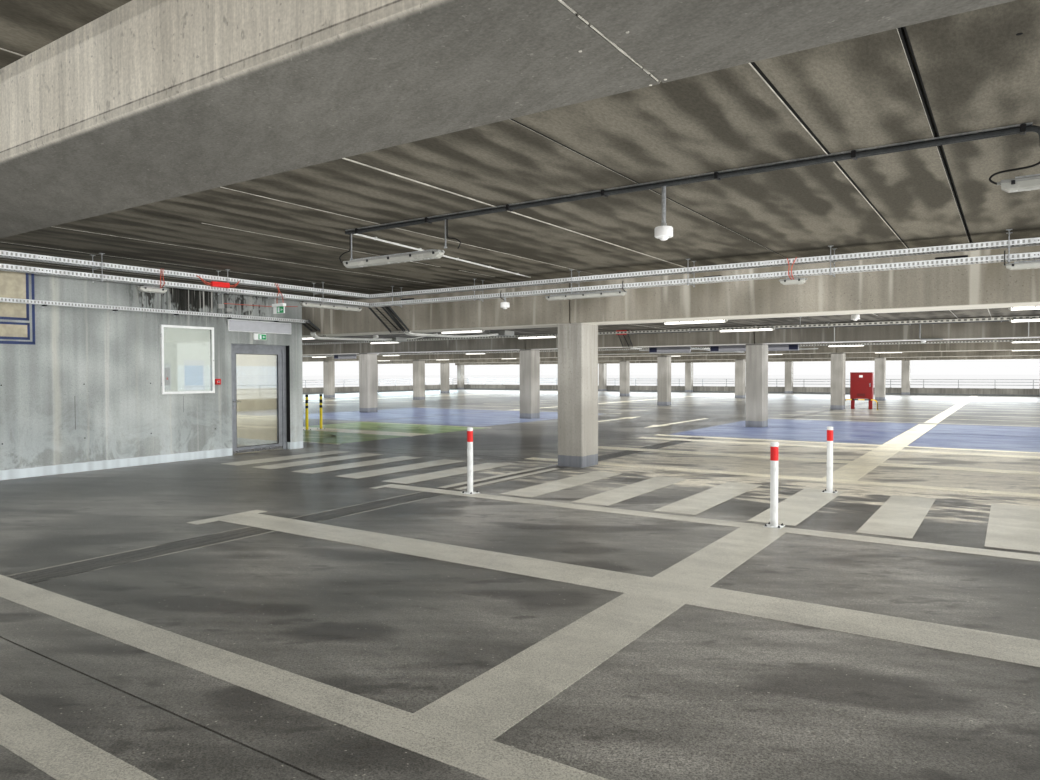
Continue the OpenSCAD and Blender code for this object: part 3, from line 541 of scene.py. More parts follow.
# Key, pale and dark tone, streaks, lime, painted foot, marks of its own, scales of the streaks
CONCRETES = (
    ("beam", rgb(160, 154, 141), rgb(132, 127, 115), 0.16, 0.0, None, beam_marks),
    # The wide beam's pale tones are painted light on its face.
    ("wide_beam", rgb(226, 220, 206), rgb(202, 195, 181), 0.09, 0.0, None, wide_beam_marks),
    ("column", rgb(174, 171, 163), rgb(148, 145, 137), 0.12, 0.0, COLUMN_FOOT, column_marks),
    ("slab", rgb(150, 148, 140), rgb(120, 118, 111), 0.12, 0.0, None, None),
    ("upstand", rgb(150, 148, 140), rgb(122, 120, 113), 0.26, 0.3, None, upstand_marks),
    ("wall", rgb(187, 192, 188), rgb(151, 156, 153), 0.2, 0.5, WALL_FOOT, core_marks, (3.2, 3.2, 0.16)),
)

# Key, name, colour, roughness, and how far the tone varies where it is told
PLAINS = (
    ("white_metal", "white_metal", (236, 238, 236), 0.35),
    ("bollard", "bollard_white", (214, 216, 214), 0.3, 0.08),
    ("sign", "sign_white", (182, 184, 188), 0.4),
    ("sign_box", "sign_box", (120, 120, 124), 0.5),
    ("case_back", "case_back", (236, 243, 234), 0.6, 0.05),
    ("paper", "paper", (226, 232, 236), 0.8, 0.04),
    ("blue_paper", "blue_paper", (172, 198, 224), 0.7, 0.06),
    ("green", "green_sign", (24, 158, 92), 0.4),
    ("navy", "navy_sign", (16, 21, 48), 0.5),
    ("red", "signal_red", (206, 26, 24), 0.35),
    ("cable_red", "cable_red", (186, 74, 50), 0.5),
    ("black", "black_rubber", (24, 24, 25), 0.6),
    ("housing", "lamp_housing", (150, 151, 147), 0.45),
    ("diffuser", "diffuser", (176, 176, 168), 0.25, 0.08),
    ("sensor", "sensor_white", (240, 240, 238), 0.3),
    ("conduit", "conduit_white", (218, 219, 214), 0.45),
    ("mortar", "joint_mortar", (206, 202, 190), 0.9, 0.3),
    ("shadow", "joint_shadow", (20, 19, 17), 0.95, 0.2),
    ("cabinet", "cabinet_red", (128, 14, 14), 0.42),
    ("yellow", "bollard_yellow", (232, 210, 28), 0.35, 0.1),
    ("blue_line", "wall_blue", (44, 60, 104), 0.6, 0.2),
    ("beige", "wall_beige", (174, 167, 145), 0.8, 0.2),
)

materials = {key: cast_concrete(key + "_concrete", *looks) for key, *looks in CONCRETES}
materials |= {key: make_plain(name, rgb(*tone), *looks) for key, name, tone, *looks in PLAINS}
materials |= {
    "asphalt": make_asphalt(),
    "deck_concrete": make_planks(),
    "galvanised": make_metal("galvanised_steel", rgb(214, 217, 220), 0.42, 0.10, 0.85),
    "bright_tray": make_metal("tray_steel", rgb(228, 230, 230), 0.5, 0.05, 0.35),
    "slotted_rail": make_slotted("slotted_rail", rgb(232, 231, 224), 0.11, ((2.702, 2.742), (2.891, 2.909))),
    "dark_channel": make_metal("channel_steel", rgb(88, 91, 93), 0.5, 0.08, 0.6),
    "aluminium": make_metal("door_aluminium", rgb(152, 156, 160), 0.42, metallic=0.3),
    "steel": make_metal("bright_steel", rgb(206, 206, 206), 0.25),
    "bolt": make_metal("dark_bolt", rgb(60, 60, 62), 0.45, metallic=0.7),
    "glass": make_glass("clear_glass", rgb(232, 240, 240), 0.34, 0.9),
    "case_glass": make_glass("case_glass", rgb(230, 236, 230), 0.30, 0.5),
    "lamp": make_lamp("lit_diffuser", 1.5),
    "hoop": banded("hoop_yellow", rgb(236, 192, 20), rgb(28, 27, 25), 0.5, 0.24, "x"),
    "paint": make_paint("line_paint", rgb(186, 183, 170)),
    "cream": make_paint("cream_paint", rgb(240, 233, 208), 0.4, 0.60),
    "blue": make_paint("blue_paint", rgb(84, 98, 142), 0.45, 0.54, rgb(130, 142, 164)),
    "green_floor": make_paint("green_paint", rgb(112, 146, 66), 0.3, 0.58, rgb(158, 174, 112)),
}


STOREY_NAMES = ("ground", "first_floor", "second_floor")
LEVEL_NAMES = STOREY_NAMES + ("roof",)
FINISHES = {
    "slab": ("ground_slab", "core_floors", "core_roof"),
    "asphalt": ("ground_surfacing", "first_deck_surfacing", "second_deck_surfacing", "roof_deck_surfacing"),
    "column": [name + "_columns" for name in STOREY_NAMES],
    "beam": [name + "_beams" for name in STOREY_NAMES],
    "wide_beam": ("wide_beams",),
    "deck_concrete": ("first_deck_planks", "second_deck_planks", "roof_deck_planks"),
    "upstand": [name + "_upstands" for name in LEVEL_NAMES],
    "galvanised": [name + "_guard_rails" for name in LEVEL_NAMES],
    "wall": (
        "core_wall_beside_doors", "core_corner_strip", "core_walls_over_doors",
        "core_end_walls", "core_back_wall",
    ),
    "aluminium": ("ground_door_frame", "ground_door_leaf", "upper_doors"),
    "glass": ("ground_door_glass", "upper_door_glass"),
    "case_glass": ("notice_case_glass",),
    "steel": ("ground_door_handles", "ground_hinge_pins", "ground_hinge_knuckles"),
    "white_metal": ("notice_case",),
    "cabinet": ("hydrant_cabinets",),
    "hoop": ("cabinet_guard_hoops",),
}
for key, names in FINISHES.items():
    for name in names:
        data = nodes[name].data
        data.materials.clear()
        data.materials.append(materials[key])


class Shape:
    """Gathers solids into one mesh, each with its own material."""

    def __init__(self):
        self.points = []
        self.faces = []
        self.keys = []
        self.used = []
        self.at((0, 0, 0))

    def at(self, origin, turn=0):
        """What follows is built from this origin, turned by this many quarter turns about Z."""
        self.origin = origin
        self.turn = ((1, 0), (0, 1), (-1, 0), (0, -1))[turn % 4]

    def put(self, points, faces, key):
        if key not in self.used:
            self.used.append(key)
        start = len(self.points)
        (ox, oy, oz), (c, d) = self.origin, self.turn
        self.points += [(ox + x * c - y * d, oy + x * d + y * c, oz + z) for x, y, z in points]
        self.faces += [tuple(start + i for i in face) for face in faces]
        self.keys += [self.used.index(key)] * len(faces)

    def box(self, low, high, key, bevel=0.0):
        """A box, with its edges cut off where a bevel is given."""
        centre = [(a + b) / 2 for a, b in zip(low, high)]
        half = [abs(b - a) / 2 for a, b in zip(low, high)]
        signs = list(itertools.product((-1, 1), repeat=3))
        if not bevel:
            points = [[c + s * h for c, s, h in zip(centre, sign, half)] for sign in signs]
            faces = [(0, 1, 3, 2), (4, 6, 7, 5), (0, 4, 5, 1), (2, 3, 7, 6), (0, 2, 6, 4), (1, 5, 7, 3)]
            return self.put(points, faces, key)
        bevel = min(bevel, *(h * 0.95 for h in half))
        points, index = [], {}
        for sign in signs:
            for axis in range(3):
                index[sign, axis] = len(points)
                cut = [h - (0 if n == axis else bevel) for n, h in enumerate(half)]
                points.append([c + s * h for c, s, h in zip(centre, sign, cut)])
        faces = []
        for axis in range(3):
            u, v = (axis + 1) % 3, (axis + 2) % 3

            def corner(side, a, b):
                sign = {axis: side, u: a, v: b}
                return sign[0], sign[1], sign[2]

            for side in (-1, 1):
                ring = [index[corner(side, a, b), axis] for a, b in ((-1, -1), (1, -1), (1, 1), (-1, 1))]
                faces.append(ring if side > 0 else ring[::-1])
            for a, b in itertools.product((-1, 1), repeat=2):
                near, far = corner(-1, a, b), corner(1, a, b)
                quad = [index[near, u], index[far, u], index[far, v], index[near, v]]
                faces.append(quad if a * b < 0 else quad[::-1])
        for sign in signs:
            tip = [index[sign, 0], index[sign, 1], index[sign, 2]]
            faces.append(tip if sign[0] * sign[1] * sign[2] > 0 else tip[::-1])
        self.put(points, faces, key)

    def rings(self, rings, key):
        """A closed solid through rings of points with the same count, anticlockwise seen from the last."""
        count = len(rings[0])
        points = [p for ring in rings for p in ring]
        faces = [tuple(range(count))[::-1], tuple(range(len(points) - count, len(points)))]
        for n in range(len(rings) - 1):
            for i in range(count):
                a, b = n * count + i, n * count + (i + 1) % count
                faces.append((a, b, b + count, a + count))
        self.put(points, faces, key)

    def lathe(self, centre, profile, key, sides=24, axis="z"):
        """A turned solid from (radius, height) pairs that climb from one flat end to the other."""
        turns = [2 * math.pi * i / sides for i in range(sides)]
        first = "xyz".index(axis)
        rings = []
        for r, h in profile:
            circle = [(h, r * math.cos(t), r * math.sin(t)) for t in turns]
            rings.append([[c + p[(n - first) % 3] for n, c in enumerate(centre)] for p in circle])
        self.rings(rings, key)

    def tube(self, path, radius, key, sides=8):
        """A round bar or cable along a path, closed at both ends."""
        path = [Vector(p) for p in path]
        rings = []
        normal = None
        for n, place in enumerate(path):
            along = (path[min(n + 1, len(path) - 1)] - path[max(n - 1, 0)]).normalized()
            if normal is None:
                normal = along.orthogonal().normalized()
            normal = (normal - along * normal.dot(along)).normalized()
            other = along.cross(normal)
            turns = [2 * math.pi * i / sides for i in range(sides)]
            rings.append([place + (normal * math.cos(t) + other * math.sin(t)) * radius for t in turns])
        self.rings(rings, key)

    def bar(self, outline, x0, x1, key, other=None):
        """A bar along X whose section is an outline of (y, z), anticlockwise seen from +X."""
        self.rings([[(x, y, z) for y, z in ring] for x, ring in ((x0, outline), (x1, other or outline))], key)

    def finish(self, name, slot, body="car_park", replaces=()):
        mesh = bpy.data.meshes.new(name)
        mesh.from_pydata([[c * SCALE for c in p] for p in self.points], [], self.faces)
        for key in self.used:
            mesh.materials.append(materials[key])
        mesh.polygons.foreach_set("material_index", self.keys)
        mesh.polygons.foreach_set("use_smooth", [True] * len(self.faces))
        mesh.set_sharp_from_angle(angle=math.radians(35))
        mesh.update()
        piece = bpy.data.objects.new(name, mesh)
        bpy.context.scene.collection.objects.link(piece)
        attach(piece, body)
        if replaces:
            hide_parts(*replaces)
        return piece


def smooth_path(points, steps=6):
    """A rounded path through the points (Catmull-Rom)."""
    p = [Vector(q) for q in points]
    p = [p[0]] + p + [p[-1]]
    out = []
    for i in range(1, len(p) - 2):
        for s in range(steps):
            t = s / steps
            a, b, c, d = p[i - 1 : i + 3]
            bend = (2 * a - 5 * b + 4 * c - d) * t * t + (3 * b - a - 3 * c + d) * t**3
            out.append(0.5 * (2 * b + (c - a) * t + bend))
    return out + [p[-2]]


# Floor paint
PAINT_UNDER = 0.004
PAINT_OVER = 0.002


def stripe(shape, x0, y0, x1, y1, key="paint", storey=0):
    """A painted rectangle on the floor, sunk in it; one along Y lies a hair above one along X."""
    z = floor_z(storey)
    over = PAINT_OVER + (0.0008 if y1 - y0 > x1 - x0 else 0.0)
    shape.box((x0, y0, z - PAINT_UNDER), (x1, y1, z + over), key)


def arrow(shape, x, y0, y1, storey, key, way=1):
    """A straight lane arrow along Y."""
    z = floor_z(storey)
    half, head, wide = 0.08, 1.3, 0.26
    tip, tail = (y1, y0) if way > 0 else (y0, y1)
    neck = tip - way * head
    outline = [
        (x - half, tail), (x + half, tail), (x + half, neck), (x + wide, neck),
        (x, tip), (x - wide, neck), (x - half, neck),
    ]
    if way < 0:
        outline.reverse()
    shape.rings([[(a, b, z + h) for a, b in outline] for h in (-PAINT_UNDER, PAINT_OVER)], key)


def ring_mark(shape, x, y, rx, ry, width, key, sides=40):
    """An oval outline painted on the ground floor."""
    points, faces = [], []
    for i in range(sides):
        angle = 2 * math.pi * i / sides
        for scale in (1.0, 1.0 - width / rx):
            for z in (FLOOR - PAINT_UNDER, FLOOR + PAINT_OVER):
                points.append((x + rx * scale * math.cos(angle), y + ry * scale * math.sin(angle), z))
    for i in range(sides):
        a, b = 4 * i, 4 * ((i + 1) % sides)
        faces += [(a, b, b + 1, a + 1), (a + 2, a + 3, b + 3, b + 2)]
        faces += [(a + 1, b + 1, b + 3, a + 3), (a, a + 2, b + 2, b)]
    shape.put(points, faces, key)


NEAR_END, FAR_END = -EDGE_Y + 0.6, EDGE_Y - 0.6
BAY_PITCH = 2.6
BAY_DEPTH = 5.3
ZEBRA_Y = (-17.98, -15.30)
ZEBRA_X = (10.54, 11.43, 12.45, 13.49, 14.49, 16.64, 17.74, 18.83, 19.92, 21.0, 22.09, 23.18)
WHITE_LINES = (
    (14.84, -18.36, LINE_END, -18.10), (14.81, -18.55, 14.93, -18.11), (15.09, -21.09, LINE_END, -20.60),
    (14.90, -21.35, 15.09, -20.46), (13.2, -23.63, LINE_END, -23.37), (14.9, -24.57, LINE_END, -24.35),
    (19.96, -23.5, 20.42, -18.29), (-24.2, NEAR_END, -24.1, FAR_END),
)
# Left end, centre and width of the lines between the bays past the crossing
CREAM_LINES = ((14.71, -14.30, 0.30), (14.75, -11.75, 0.46), (14.6, -9.08, 0.42), (14.62, -8.10, 0.34))
BLUE_BAYS = (
    (14.85, 19.88, (-8.0, -3.9), (-3.82, 0.1)), (20.41, LINE_END, (-8.0, -3.9), (-3.82, 0.1)),
    (-1.1, 4.1, (-8.2, -3.9), (-3.8, 0.1)), (4.3, 9.0, (-8.2, -3.9), (-3.8, 0.1)),
)


def paint_ground():
    lines, coloured = Shape(), Shape()
    for x0, wide in [(x, 0.5) for x in ZEBRA_X] + [(15.58, 0.13), (15.86, 0.13)]:
        stripe(lines, x0, ZEBRA_Y[0], x0 + wide, ZEBRA_Y[1])
    for ends in WHITE_LINES:
        stripe(lines, *ends)
    for y in (-27.1, -29.7, -32.3):
        stripe(lines, 14.9, y - 0.1, LINE_END, y + 0.1)
    stripe(lines, 19.90, -14.35, 20.39, -0.1, "cream")
    for left, y, wide in CREAM_LINES:
        stripe(lines, left, y - wide / 2, LINE_END, y + wide / 2, "cream")
    for x0, x1, *bays_along in BLUE_BAYS:
        for y0, y1 in bays_along:
            stripe(coloured, x0, y0, x1, y1, "blue")
    for y0, y1 in ((-14.30, -11.85), (-11.05, -8.45)):
        middle = (y0 + y1) / 2
        stripe(coloured, 4.29, y0, 9.5, y1, "green_floor")
        ring_mark(lines, 7.2, middle, 0.75, 0.5, 0.12, "cream")
        stripe(lines, 6.2, middle - 0.05, 6.5, middle + 0.05, "cream")
        for y in (y0, y1):
            stripe(lines, 4.29, y - 0.06, 9.6, y + 0.06, "cream")
    stripe(lines, 4.29, -11.79, 9.5, -11.11, "cream")
    arrow(lines, 13.36, -6.05, -0.75, 0, "cream", -1)
    arrow(lines, 10.89, -4.25, -0.85, 0, "cream", 1)
    bays(lines, 0, 0.4, FAR_END, "cream")
    bays(lines, 0, NEAR_END, -24.7, "paint", HEADS[:2])
    bays(lines, 0, -24.7, 0.3, "paint", HEADS[:1])
    lines.finish("ground_markings", "asphalt")
    coloured.finish("ground_coloured_bays", "asphalt")


def bays(shape, storey, y0, y1, key, heads=HEADS):
    """Head lines, and bay lines on both sides of them."""
    for head in heads:
        stripe(shape, head - 0.2, y0, head + 0.2, y1, key, storey)
        right = min(head + BAY_DEPTH, LINE_END)
        for i in range(int((y1 - y0) / BAY_PITCH) + 1):
            y = y0 + 0.1 + i * BAY_PITCH
            stripe(shape, head - BAY_DEPTH, y - 0.06, head - 0.2, y + 0.06, key, storey)
            stripe(shape, head + 0.2, y - 0.06, right, y + 0.06, key, storey)


def paint_upper(storey, name):
    lines = Shape()
    for y0, heads in ((NEAR_END, HEADS[::2]), (-13.9, HEADS[1:2])):
        bays(lines, storey, y0, FAR_END, "paint", heads)
    bays(lines, storey, NEAR_END, -24.7, "paint", HEADS[1:2])
    for lane in LANES:
        for y in (-26.0, -6.0, 14.0):
            arrow(lines, lane - 1.3, y, y + 4.0, storey, "paint", 1)
            arrow(lines, lane + 1.3, y + 2.0, y + 6.0, storey, "paint", -1)
    lines.finish(name, "asphalt")


paint_ground()
for level, label in ((1, "first_deck_markings"), (2, "second_deck_markings"), (3, "roof_markings")):
    paint_upper(level, label)


# Luminaires, sensors and what they hang from
TUBE = ((-0.030, 0.0), (0.030, 0.0), (0.046, 0.012), (0.050, 0.052), (-0.050, 0.052), (-0.046, 0.012))
TUBE_TIP = ((-0.026, 0.026), (0.026, 0.026), (0.038, 0.034), (0.042, 0.052), (-0.042, 0.052), (-0.038, 0.034))
CHANNEL = (
    (-0.030, 0.0), (0.030, 0.0), (0.030, 0.040), (0.018, 0.040), (0.018, 0.036), (0.026, 0.036),
    (0.026, 0.004), (-0.026, 0.004), (-0.026, 0.036), (-0.018, 0.036), (-0.018, 0.040), (-0.030, 0.040),
)


def batten(shape, origin, lit=False, turn=0, length=LUMINAIRE_L):
    """A sealed tube light that starts at the origin: clear cover, housing, clips, rail and glands."""
    shape.at(origin, turn)
    cover = "lamp" if lit else "diffuser"
    tip = 0.045
    shape.bar(TUBE, tip, length - tip, cover)
    shape.bar(TUBE_TIP, 0.004, tip, "diffuser", TUBE)
    shape.bar(TUBE, length - tip, length - 0.004, "diffuser", TUBE_TIP)
    shape.box((0, -0.054, 0.052), (length, 0.054, 0.074), "housing", 0.006)
    shape.box((0.08, -0.02, 0.074), (length - 0.08, 0.02, LUMINAIRE_H), "galvanised")
    count = max(2, round(length / 0.3))
    for i in range(count):
        x = 0.07 + (length - 0.14) * i / (count - 1)
        for side in (-1, 1):
            shape.box((x - 0.011, side * 0.047, 0.036), (x + 0.011, side * 0.058, 0.062), "bolt")
    for x in (-0.02, length):
        shape.lathe((x, 0, 0.063), ((0.011, 0.0), (0.011, 0.02)), "housing", 8, "x")
    shape.at((0, 0, 0))


def sensor(shape, x, y, z, top):
    """A short white cylinder with a lens under it, on a stem that ends at a height."""
    body = (
        (0.010, -0.024), (0.024, -0.020), (0.036, -0.010), (0.040, 0.002), (0.070, 0.004), (0.077, 0.010),
        (0.077, 0.076), (0.070, 0.088), (0.030, 0.094),
    )
    shape.lathe((x, y, z), body, "sensor", 24)
    shape.lathe((x, y, z), ((0.018, 0.094), (0.018, top - z)), "galvanised", 12)
    shape.lathe((x, y, z), ((0.024, 0.094), (0.024, 0.12), (0.018, 0.126)), "housing", 12)


def rod(shape, x, y, low, high, radius=0.006):
    """A threaded rod with a nut below, and a plate and a nut where it meets the deck."""
    shape.lathe((x, y, 0), ((radius, low), (radius, high)), "galvanised", 8)
    for z in (low, high - 0.02):
        shape.lathe((x, y, z), ((radius * 2.2, 0.0), (radius * 2.2, 0.014)), "galvanised", 6)
    shape.box((x - 0.03, y - 0.02, high - 0.006), (x + 0.03, y + 0.02, high), "galvanised")


def hung_channel(shape, x0, x1, y, z, ceiling, tall):
    """A C channel along X on rods, with a coupler every three metres."""
    shape.at((0, y, z))
    sink = 0.04 if tall > 1 else 0.0
    shape.bar([(a, b * tall - sink) for a, b in CHANNEL], x0, x1, "slotted_rail")
    for i in range(1, int((x1 - x0) / 3.0)):
        x = x0 + i * 3.0
        shape.box((x - 0.06, -0.034, -0.004), (x + 0.06, 0.034, 0.03), "housing")
    shape.at((0, 0, 0))
    count = round((x1 - x0) / LUMINAIRE_PITCH)
    for i in range(count + 1):
        x = x0 + 0.11 + i * (x1 - x0 - 0.2) / count
        rod(shape, x, y, z + CHANNEL_H - 0.01, ceiling)


def beside_core(row, x):
    return row == WIDE_ROW and CORE[0][0] - LUMINAIRE_L < x < WALL_X + 2.8


def line_places():
    for row, offsets in enumerate(LINES):
        for line, offset in enumerate(offsets):
            yield row, line, ROWS[row] + offset


def service_lines(storey):
    """All the lights, sensors, channels and rods of one storey."""
    z = floor_z(storey)
    lights, sensors, hangers = Shape(), Shape(), Shape()
    for row, line, y in line_places():
        lit = row >= LIT_FROM_ROW
        low = z - line_drop(row)
        ceiling = z + soffit_in_bay(row)
        for k in range(8):
            x = FIRST_LUMINAIRE_X - k * LUMINAIRE_PITCH
            under_tray = row == WIDE_ROW and line > 0 and x > WALL_X
            if not beside_core(row, x):
                batten(lights, (x, y, low + (UNDER_TRAY_Z if under_tray else LUMINAIRE_Z)), lit)
            x -= SENSOR_STEP
            in_core = row == WIDE_ROW and CORE[0][0] - 0.8 < x < WALL_X + 2.8
            if line == 0 and row >= WIDE_ROW and k % 2 == 0 and not in_core:
                high = row == WIDE_ROW and x > WALL_X
                sensor(sensors, x, y, low + SENSOR_Z, low + (3.19 if high else CHANNEL_Z + 0.005))
        end = CORE[0][0] - 0.6 if row == WIDE_ROW else CHANNEL_END
        hung_channel(hangers, -CHANNEL_END, end, y, low + CHANNEL_Z, ceiling, 1.5 if lit else 1.0)
    batten(lights, (TRAY_X, TRAY_Y - 1.65, z + UNDER_TRAY_Z), turn=1)
    batten(lights, (TRAY_X, TRAY_Y - 4.5, z + UNDER_TRAY_Z), turn=1, length=0.4)
    batten(lights, (TRAY_X + 7.65, TRAY_Y, z + UNDER_TRAY_Z), length=0.32)
    sensor(sensors, TRAY_X + 3.15, TRAY_Y, z + 2.70, z + TRAY_Z[0])
    ceiling_line(hangers, z)
    tray_hangers(hangers, z)
    name = STOREY_NAMES[storey]
    lights.finish(name + "_lights", "luminaire_white", replaces=("luminaires",))
    sensors.finish(name + "_sensors", "sensor_white", replaces=("ceiling_sensors",))
    hangers.finish(name + "_hangers", "galvanised_steel", replaces=("service_hangers",))


def ceiling_line(shape, floor):
    """The dark cable channel on the ceiling near the camera, and the rods and cables at its lights."""
    shape.at((0, ROWS[WIDE_ROW] + LINES[WIDE_ROW][0], floor))
    top, x0, x1 = PLANK_SOFFIT, 16.03, 22.34
    shape.box((x0, -0.03, top - 0.012), (x1 + 0.04, 0.03, top), "galvanised")
    for y in (-0.018, 0.018):
        shape.tube([(x0, y, top - 0.032), (x1, y, top - 0.032)], 0.017, "dark_channel", 10)
    for i in range(7):
        x = x0 + 0.18 + i * 1.02
        shape.box((x - 0.016, -0.042, top - 0.056), (x + 0.016, 0.042, top - 0.004), "bolt", 0.004)
    bend = ((0, top - 0.032), (0.05, top - 0.036), (0.09, top - 0.07), (0.10, top - 0.16))
    loop = ((0.10, 2.98), (0.04, 2.94), (-0.14, 2.925), (-0.19, 2.89), (-0.155, 2.855), (-0.12, 2.853))
    for path, radius, key, sides in ((bend, 0.02, "dark_channel", 10), (bend[-1:] + loop, 0.007, "black", 8)):
        shape.tube(smooth_path([(x1 + x, 0, z) for x, z in path]), radius, key, sides)
    for x in (22.48, 23.49, 16.10, 17.46):
        rod(shape, x, 0, CHANNEL_Z, top, 0.008)
    for x, way in ((16.10, -1), (17.46, 1)):
        path = ((0.02, top - 0.03), (0.022, 3.06), (0.03, 2.985), (0.12, 2.965), (0.19, 2.92), (0.16, 2.86))
        shape.tube(smooth_path([(x + way * out, 0, z) for out, z in path]), 0.006, "black")
    shape.at((16.04, -20.03, floor))
    dx, dy, clips = -0.44, 4.43, 5
    shape.tube([(0, 0, top - 0.02), (dx, dy, top - 0.02)], 0.0125, "conduit", 10)
    for i in range(clips):
        x, y = dx * (i + 0.5) / clips, dy * (i + 0.5) / clips
        shape.box((x - 0.018, y - 0.01, top - 0.034), (x + 0.018, y + 0.01, top), "conduit")


def tray_hangers(shape, z):
    """Two rods and two cross bars at each place where the trays hang."""
    places = []
    x = TRAY_X + 0.7
    while x <= TRAY_END_X - 0.1:
        places.append(((x, TRAY_Y), 0))
        x += HANGER_PITCH
    y = TRAY_START_Y + 0.4
    while y <= TRAY_Y - 0.6:
        places.append(((TRAY_X, y), 1))
        y += HANGER_PITCH
    for (x, y), turn in places:
        shape.at((x, y, z), turn)
        for side in (-1, 1):
            rod(shape, 0, side * (TRAY_W / 2 + 0.02), TRAY_Z[0] - 0.035, PLANK_SOFFIT)
        for height in TRAY_Z:
            shape.box((-0.012, -0.125, height - 0.02), (0.012, 0.125, height), "galvanised", 0.002)
    shape.at((0, 0, 0))


# Cable trays
SLOT_PITCH = 0.05
SLOT_LAND = 0.027


def slotted_tray(shape, origin, turn, length, width, slotted=True):
    """A tray along X, open above, with slots through its sides and base."""
    shape.at(origin, turn)
    half, t = width / 2, 0.003
    if not slotted:
        outline = (
            (-half, 0), (half, 0), (half, TRAY_H), (half - t, TRAY_H), (half - t, t),
            (-half + t, t), (-half + t, TRAY_H), (-half, TRAY_H),
        )
        shape.bar(outline, 0, length, "bright_tray")
        return shape.at((0, 0, 0))
    low, high = 0.012, 0.047
    for side in (-1, 1):
        outer, inner = side * half, side * (half - t)
        # Painted shade: a grey sheet just inside each side shows through the side slots.
        shape.box((0, side * (half - 0.009), low - t), (length, side * (half - 0.008), high + t), "housing")
        for z0, z1 in ((0, low), (high, TRAY_H)):
            shape.box((0, outer, z0), (length, inner, z1), "bright_tray")
        shape.box((0, inner, TRAY_H - t), (length, side * (half - 0.012), TRAY_H), "bright_tray")
    strips = [(-half + t, -half + 0.022), (-0.012, 0.012), (half - 0.022, half - t)]
    if width < 0.15:
        strips = [strips[0], strips[2]]
    for y0, y1 in strips:
        shape.box((0, y0, 0), (length, y1, t), "bright_tray")
    for i in range(int(length / SLOT_PITCH) + 1):
        x0 = i * SLOT_PITCH
        x1 = min(x0 + SLOT_LAND, length)
        for side in (-1, 1):
            shape.box((x0, side * half, low), (x1, side * (half - t), high), "bright_tray")
        for (_, y0), (y1, _) in zip(strips, strips[1:]):
            shape.box((x0, y0, 0), (x1, y1, t), "bright_tray")
    if width > 0.15:
        for y in (-0.062, -0.021, 0.021, 0.062):
            shape.tube([(0.02, y, 0.024), (length - 0.02, y, 0.024)], 0.019, "black", 8)
    for i in range(int(length / 3.0)):
        x = 1.6 + i * 3.0
        for side in (-1, 1):
            shape.box((x - 0.09, side * half, 0.004), (x + 0.09, side * (half + t), 0.056), "bright_tray")
            for screw in (x - 0.06, x - 0.025, x + 0.025, x + 0.06):
                low, high = (screw - 0.006, side * half, 0.024), (screw + 0.006, side * (half + 0.008), 0.036)
                shape.box(low, high, "steel")
    shape.at((0, 0, 0))


def trays(storey):
    z = floor_z(storey)
    shape = Shape()
    slotted = storey == 0
    corner = TRAY_W / 2 + 0.01
    for height in TRAY_Z:
        run = TRAY_Y - corner - TRAY_START_Y
        slotted_tray(shape, (TRAY_X, TRAY_START_Y, z + height), 1, run, TRAY_W, slotted)
        start = TRAY_X - TRAY_W / 2
        slotted_tray(shape, (start, TRAY_Y, z + height), 0, TRAY_END_X - start, TRAY_W, slotted)
    (x0, y0), (x1, y1) = CORE
    half = WALL_TRAY_W / 2
    slotted_tray(shape, (x1 + half, y0 + 0.2, z + WALL_TRAY_Z), 1, y1 - y0 - 0.21, WALL_TRAY_W, slotted)
    slotted_tray(shape, (x0, y1 + half, z + WALL_TRAY_Z), 0, x1 - x0 + WALL_TRAY_W, WALL_TRAY_W, False)
    shape.at((x1, y0, z + WALL_TRAY_Z))
    for i in range(7):
        y = 0.55 + i * 1.1
        shape.box((0, y - 0.015, -0.022), (WALL_TRAY_W, y + 0.015, 0), "bolt")
        shape.box((0, y - 0.015, -0.04), (0.006, y + 0.015, 0), "galvanised")
    shape.finish(STOREY_NAMES[storey] + "_cable_trays", "galvanised_steel", replaces=("cable_trays",))


RED_CABLES = (
    ((12.15, -19.95, 3.11), (12.16, -19.96, 3.0), (12.155, -19.94, 2.9), (12.09, -19.95, 2.84)),
    ((12.15, -19.98, 3.11), (12.17, -20.0, 2.98), (12.15, -19.99, 2.88), (12.10, -19.97, 2.84)),
    ((12.15, -17.97, 3.1), (12.17, -17.96, 2.98), (12.16, -17.99, 2.86), (12.16, -17.99, 2.76)),
    ((12.15, -18.02, 3.1), (12.2, -18.0, 3.0), (12.3, -18.0, 2.88), (12.31, -17.99, 2.76)),
    ((19.80, -15.86, 3.11), (19.83, -15.88, 3.0), (19.82, -15.87, 2.9), (19.84, -15.80, 2.83)),
    ((19.92, -15.86, 3.11), (19.87, -15.88, 3.0), (19.86, -15.87, 2.9), (19.87, -15.80, 2.83)),
)
CONDUITS = (
    ((9.52, -15.02, 2.5), (9.5, -14.9, 2.4), (9.48, -14.4, 2.395), (9.46, -13.2, 2.42), (9.4, -12.4, 2.45)),
    ((12.14, -14.98, 2.48), (12.16, -14.8, 2.4), (12.18, -14.3, 2.395), (12.2, -13, 2.42), (12.2, -11.6, 2.54)),
)


